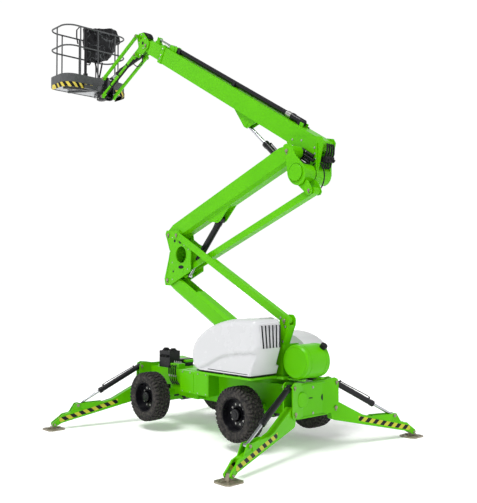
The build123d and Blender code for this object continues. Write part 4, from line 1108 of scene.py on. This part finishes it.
cover = bmesh.new()
ROWS, COLUMNS = 52, 112
HIGH_SIDE = (0.065, 0.08, 0.078, 0.06, 0.03, 0.005)
LOW_SIDE = (-0.8, -0.815, -0.71, -0.7, -0.61, -0.52)
CLOTH_WIDTH = 2.1
grid = []
for row in range(ROWS):
    t = row / (ROWS - 1)
    over = min(1.0, t / 0.2) ** 0.55
    fall = max(0.0, (t - 0.2) / 0.8)
    high_side, low_side = along_table(fall, HIGH_SIDE), along_table(fall, LOW_SIDE)
    ring = []
    for column in range(COLUMNS):
        a = 2 * math.pi * column / COLUMNS
        cos_a, sin_a = math.cos(a), math.sin(a)
        spread_y = math.copysign(abs(sin_a) ** 0.6, sin_a) * over
        y = (high_side + low_side) / 2 + (high_side - low_side) / 2 * spread_y
        x = 4.588 + 0.118 * (1.0 - 0.25 * fall) * over * math.copysign(abs(cos_a) ** 0.5, cos_a)
        crest = 7.985 + 0.075 * eased((0.1 - y) / 0.5) - 0.15 * eased((-0.6 - y) / 0.22)
        hem = 7.25 + 0.2 * (0.1 - y) + 0.02 * math.sin(y * 23.0)
        z = crest + (hem - crest) * fall
        where = Vector((x * 2.5, y * 4.2, z * 2.6)) + Vector((3.1, 7.7, 1.2))
        lump, crumple = noise.noise(where), noise.noise(where * 2.9)
        fold = abs(noise.noise(Vector((x * 2.0, y * 5.2 + z * 3.0, z * 1.3 - y))))
        z += 0.045 * lump * (1.0 - 0.5 * fall) + 0.012 * crumple
        push = 0.03 * lump + 0.02 * crumple - 0.035 * fold
        x += push * math.copysign(1.0, cos_a) * min(1.0, abs(cos_a) * 3.0)
        y += (0.022 * crumple - 0.012 * fold) * min(1.0, abs(sin_a) * 2.0) * math.copysign(1.0, sin_a)
        ring.append(cover.verts.new(at(x, y, z)))
    grid.append(ring)
wrap(cover, grid)
bmesh.ops.remove_doubles(cover, verts=grid[0], dist=0.002)
cloth_area = sum(face.calc_area() for face in cover.faces)
cover_piece = piece("console_cover", "basket", "cover_vinyl", cover, replaced=("control_console",))
thicken = cover_piece.modifiers.new("cloth", "SOLIDIFY")
thicken.thickness = 0.003
cloth_area * 1.05 / CLOTH_WIDTH

under_bars = bmesh.new()
for sign in (-1, 1):
    for x_end, y_end in ((4.8, 0.62), (5.08, 0.34)):
        near_end = at(4.34, MAIN_Y + sign * 0.06, 6.618)
        far_end = at(x_end, MAIN_Y + sign * y_end, 6.668)
        width = UP.cross(far_end - near_end).normalized()
        plate(under_bars, [near_end - width * 0.035, far_end - width * 0.024, far_end + width * 0.024,
                           near_end + width * 0.035], UP * 0.024, UP * -0.052)
boxes(under_bars, ((4.33, MAIN_Y - 0.35, 6.61), (4.392, MAIN_Y + 0.35, 6.69)))
piece("basket_under_bars", "basket", "grey_paint", under_bars, bevel=0.004)
rotator = bmesh.new()
turned(rotator, at(ROTATOR_X, MAIN_Y, 6.38), UP,
       [(0, 0.06), (0.012, 0.092), (0.06, 0.092), (0.066, 0.086), (0.12, 0.086), (0.126, 0.094),
        (0.178, 0.094)], 36)
boxes(rotator, ((4.05, MAIN_Y - 0.055, 6.545), (4.2, MAIN_Y + 0.055, 6.6)),
      ((3.985, MAIN_Y + 0.081, 6.47), (4.1, MAIN_Y + 0.088, 6.69)),
      ((3.985, MAIN_Y - 0.088, 6.47), (4.1, MAIN_Y - 0.081, 6.69)))
piece("rotator_housing", "platform_bracket", "black_paint", rotator, bevel=0.004)
bolts = bmesh.new()
for a in turns(8, math.pi / 8):
    out = Vector((math.cos(a), math.sin(a), 0))
    hex_bolt(bolts, at(ROTATOR_X, MAIN_Y, 6.412) + out * 0.091, out, 0.01)
bolt_pairs(bolts, [(4.05, 6.52), (4.05, 6.64)], MAIN_Y, 0.082, 0.009)
piece("rotator_bolts", "platform_bracket", "bright_bolts", bolts)
welds = bmesh.new()
for x, y in ((5.203, 0.0), (5.203, 0.43), (5.203, -0.43), (4.417, 0.43), (4.417, -0.43), (4.81, 0.768),
             (4.81, -0.768)):
    discs(welds, [at(x, MAIN_Y + y, z) for z in (7.47, 7.903)], UP,
          [(0, 0.015), (0.006, 0.0168), (0.012, 0.0168), (0.016, 0.015)], 14)
    turned(welds, at(x, MAIN_Y + y, 6.894), UP, [(0, 0.0168), (0.012, 0.0168), (0.018, 0.015)], 14)
piece("rail_welds", "basket", "grey_paint", welds)


def around_basket(reach, out, level):
    """A point on the basket's rounded outline, by the distance round from the middle of its
    boom side."""
    half_x, half_y, bend = 0.41, 0.785, 0.26
    lap = math.pi / 2 * bend
    sign, reach = math.copysign(1.0, reach), abs(reach)
    flat, ends = half_y - bend, 2 * (half_x - bend)
    if reach < flat:
        x, y, nx, ny = -half_x, reach, -1.0, 0.0
    elif reach < flat + lap:
        a = (reach - flat) / bend
        nx, ny = -math.cos(a), math.sin(a)
        x, y = -half_x + bend + nx * bend, flat + ny * bend
    elif reach < flat + lap + ends:
        x, y, nx, ny = -half_x + bend + reach - flat - lap, half_y, 0.0, 1.0
    else:
        a = (reach - flat - lap - ends) / bend
        nx, ny = math.sin(a), math.cos(a)
        x, y = half_x - bend + nx * bend, flat + ny * bend
    return at(4.81 + x + nx * out, MAIN_Y + sign * (y + ny * out), level)


def toe_band(shape, start, end, low, high, out, lean=0.0, steps=8):
    """A thin upright band that follows the basket's outline."""
    rows = []
    for k in range(steps + 1):
        reach = start + (end - start) * k / steps
        rows.append([shape.verts.new(around_basket(reach + shift, off, level)) for shift, off, level in
                     ((0.0, 0.0, low), (0.0, out, low), (lean, out, high), (lean, 0.0, high))])
    for first, second in zip(rows, rows[1:]):
        for k in range(4):
            shape.faces.new((first[k], second[k], second[(k + 1) % 4], first[(k + 1) % 4]))
    shape.faces.new(rows[0])
    shape.faces.new(rows[-1][::-1])


skirt, yellow, bars = bmesh.new(), bmesh.new(), bmesh.new()
for start, end in ((0.0, 1.24), (0.0, -1.24)):
    toe_band(skirt, start, end, 6.612, 6.7, 0.003, steps=48)
for start, end in ((0.14, 1.235), (-0.42, -1.235)):
    toe_band(yellow, start, end, 6.614, 6.716, 0.005, steps=40)
    pitch, reach = math.copysign(0.14, end), start
    while abs(reach + pitch * 0.5) < 1.15:
        toe_band(bars, reach, reach + pitch * 0.5, 6.6145, 6.7155, 0.0105, lean=0.07, steps=6)
        reach += pitch
piece("toe_skirt", "basket", "grey_paint", skirt)
piece("toe_band_yellow", "basket", "hazard_yellow", yellow)
piece("toe_band_bars", "basket", "louvre_black", bars)
deck = bmesh.new()
for k in range(9):
    x = 4.53 + 0.07 * k
    boxes(deck, ((x, MAIN_Y - 0.62, 6.73), (x + 0.012, MAIN_Y + 0.62, 6.7335)))
piece("floor_ribs", "basket", "deck_aluminium", deck)


# ---- hoses

def hose(name, body, radius, points):
    """A free rubber hose whose line is one smooth spline."""
    line = bpy.data.curves.new(name, "CURVE")
    line.dimensions = "3D"
    spline = line.splines.new("NURBS")
    spline.points.add(len(points) - 1)
    for knot, point in zip(spline.points, points):
        knot.co = (*point, 1.0)
    spline.order_u = 3
    spline.use_endpoint_u = True
    spline.resolution_u = 8
    thing = bpy.data.objects.new(name, line)
    bpy.context.collection.objects.link(thing)
    bpy.context.view_layer.update()
    bare = bpy.data.meshes.new_from_object(thing)
    bpy.data.meshes.remove(bare)
    line.bevel_depth = radius
    line.bevel_resolution = 3
    line.materials.append(FINISHES["hose_rubber"])
    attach(thing, body)


hose("knuckle_hose_loop", "top_knuckle", 0.01, [
    at(-2.012, -0.034, 4.3), at(-2.078, -0.05, 4.2), at(-2.066, -0.056, 4.01),
    at(-1.965, -0.056, 3.88), at(-1.85, -0.052, 3.862), at(-1.785, -0.04, 3.9),
    at(-1.775, -0.034, 3.985)])
hose("head_hose", "jib_head", 0.01, [
    at(2.69, MAIN_Y + 0.074, 7.0), at(2.65, MAIN_Y + 0.07, 6.88), at(2.74, MAIN_Y + 0.05, 6.8),
    at(2.9, MAIN_Y + 0.06, 6.81), at(2.985, MAIN_Y + 0.076, 6.905)])


# ---- floor, lights, camera

def floor():
    """A wide pale floor."""
    disc = bmesh.new()
    bmesh.ops.create_circle(disc, cap_ends=True, segments=64, radius=300.0)
    mesh = bpy.data.meshes.new("studio_floor")
    disc.to_mesh(mesh)
    disc.free()
    ground = bpy.data.objects.new("studio_floor", mesh)
    bpy.context.collection.objects.link(ground)
    finish = Finish("studio_floor")
    finish.set(Base_Color=finish.blend(finish.noise(0.3), (0.955, 0.955, 0.955), (0.965, 0.965, 0.965)),
               Roughness=0.9, Specular_IOR_Level=0.0, Emission_Color=(1.0, 1.0, 1.0),
               Emission_Strength=0.16)
    mesh.materials.append(finish.material)


def lamp(name, place, target, power, size):
    light = bpy.data.lights.new(name, "AREA")
    light.energy = power
    light.shape = "DISK"
    light.size = size
    holder = bpy.data.objects.new(name, light)
    holder.location = place
    holder.rotation_euler = (Vector(target) - Vector(place)).to_track_quat("-Z", "Y").to_euler()
    bpy.context.collection.objects.link(holder)


floor()
lamp("fill_light", (MIDDLE - 14.0, -3.0, 9.0), (0.0, 0.0, 3.5), 250, 9.0)
sun = bpy.data.lights.new("key_light", "SUN")
sun.energy = 2.3
sun.angle = math.radians(24)
sun_holder = bpy.data.objects.new("key_light", sun)
sun_holder.rotation_euler = Vector((0.1, -0.62, -1.1)).to_track_quat("-Z", "Y").to_euler()
bpy.context.collection.objects.link(sun_holder)
bpy.context.scene.view_settings.view_transform = "Standard"
world = bpy.data.worlds.new("studio_air")
bpy.context.scene.world = world
world.use_nodes = True
air = world.node_tree
sight = air.nodes.new("ShaderNodeTexCoord")
height = air.nodes.new("ShaderNodeSeparateXYZ")
air.links.new(sight.outputs["Generated"], height.inputs[0])
glow = air.nodes.new("ShaderNodeMapRange")
air.links.new(height.outputs[2], glow.inputs["Value"])
for key, value in (("From Min", 0.4), ("From Max", 0.6), ("To Min", 1.02), ("To Max", 0.4)):
    glow.inputs[key].default_value = value
air.links.new(glow.outputs[0], air.nodes["Background"].inputs[1])
air.nodes["Background"].inputs[0].default_value = (1.0, 1.0, 1.0, 1.0)

CAMERA_PLACE = Vector((MIDDLE - 9.2022, 8.27295, 2.569))
YAW, PITCH = -0.7457, 0.0372
camera_data = bpy.data.cameras.new("camera")
camera_data.sensor_width = 36.0
camera_data.lens = 52.6
camera = bpy.data.objects.new("camera", camera_data)
camera.location = CAMERA_PLACE
heading = Vector((math.cos(YAW) * math.cos(PITCH), math.sin(YAW) * math.cos(PITCH), math.sin(PITCH)))
camera.rotation_euler = heading.to_track_quat("-Z", "Y").to_euler()
bpy.context.collection.objects.link(camera)
bpy.context.scene.camera = camera
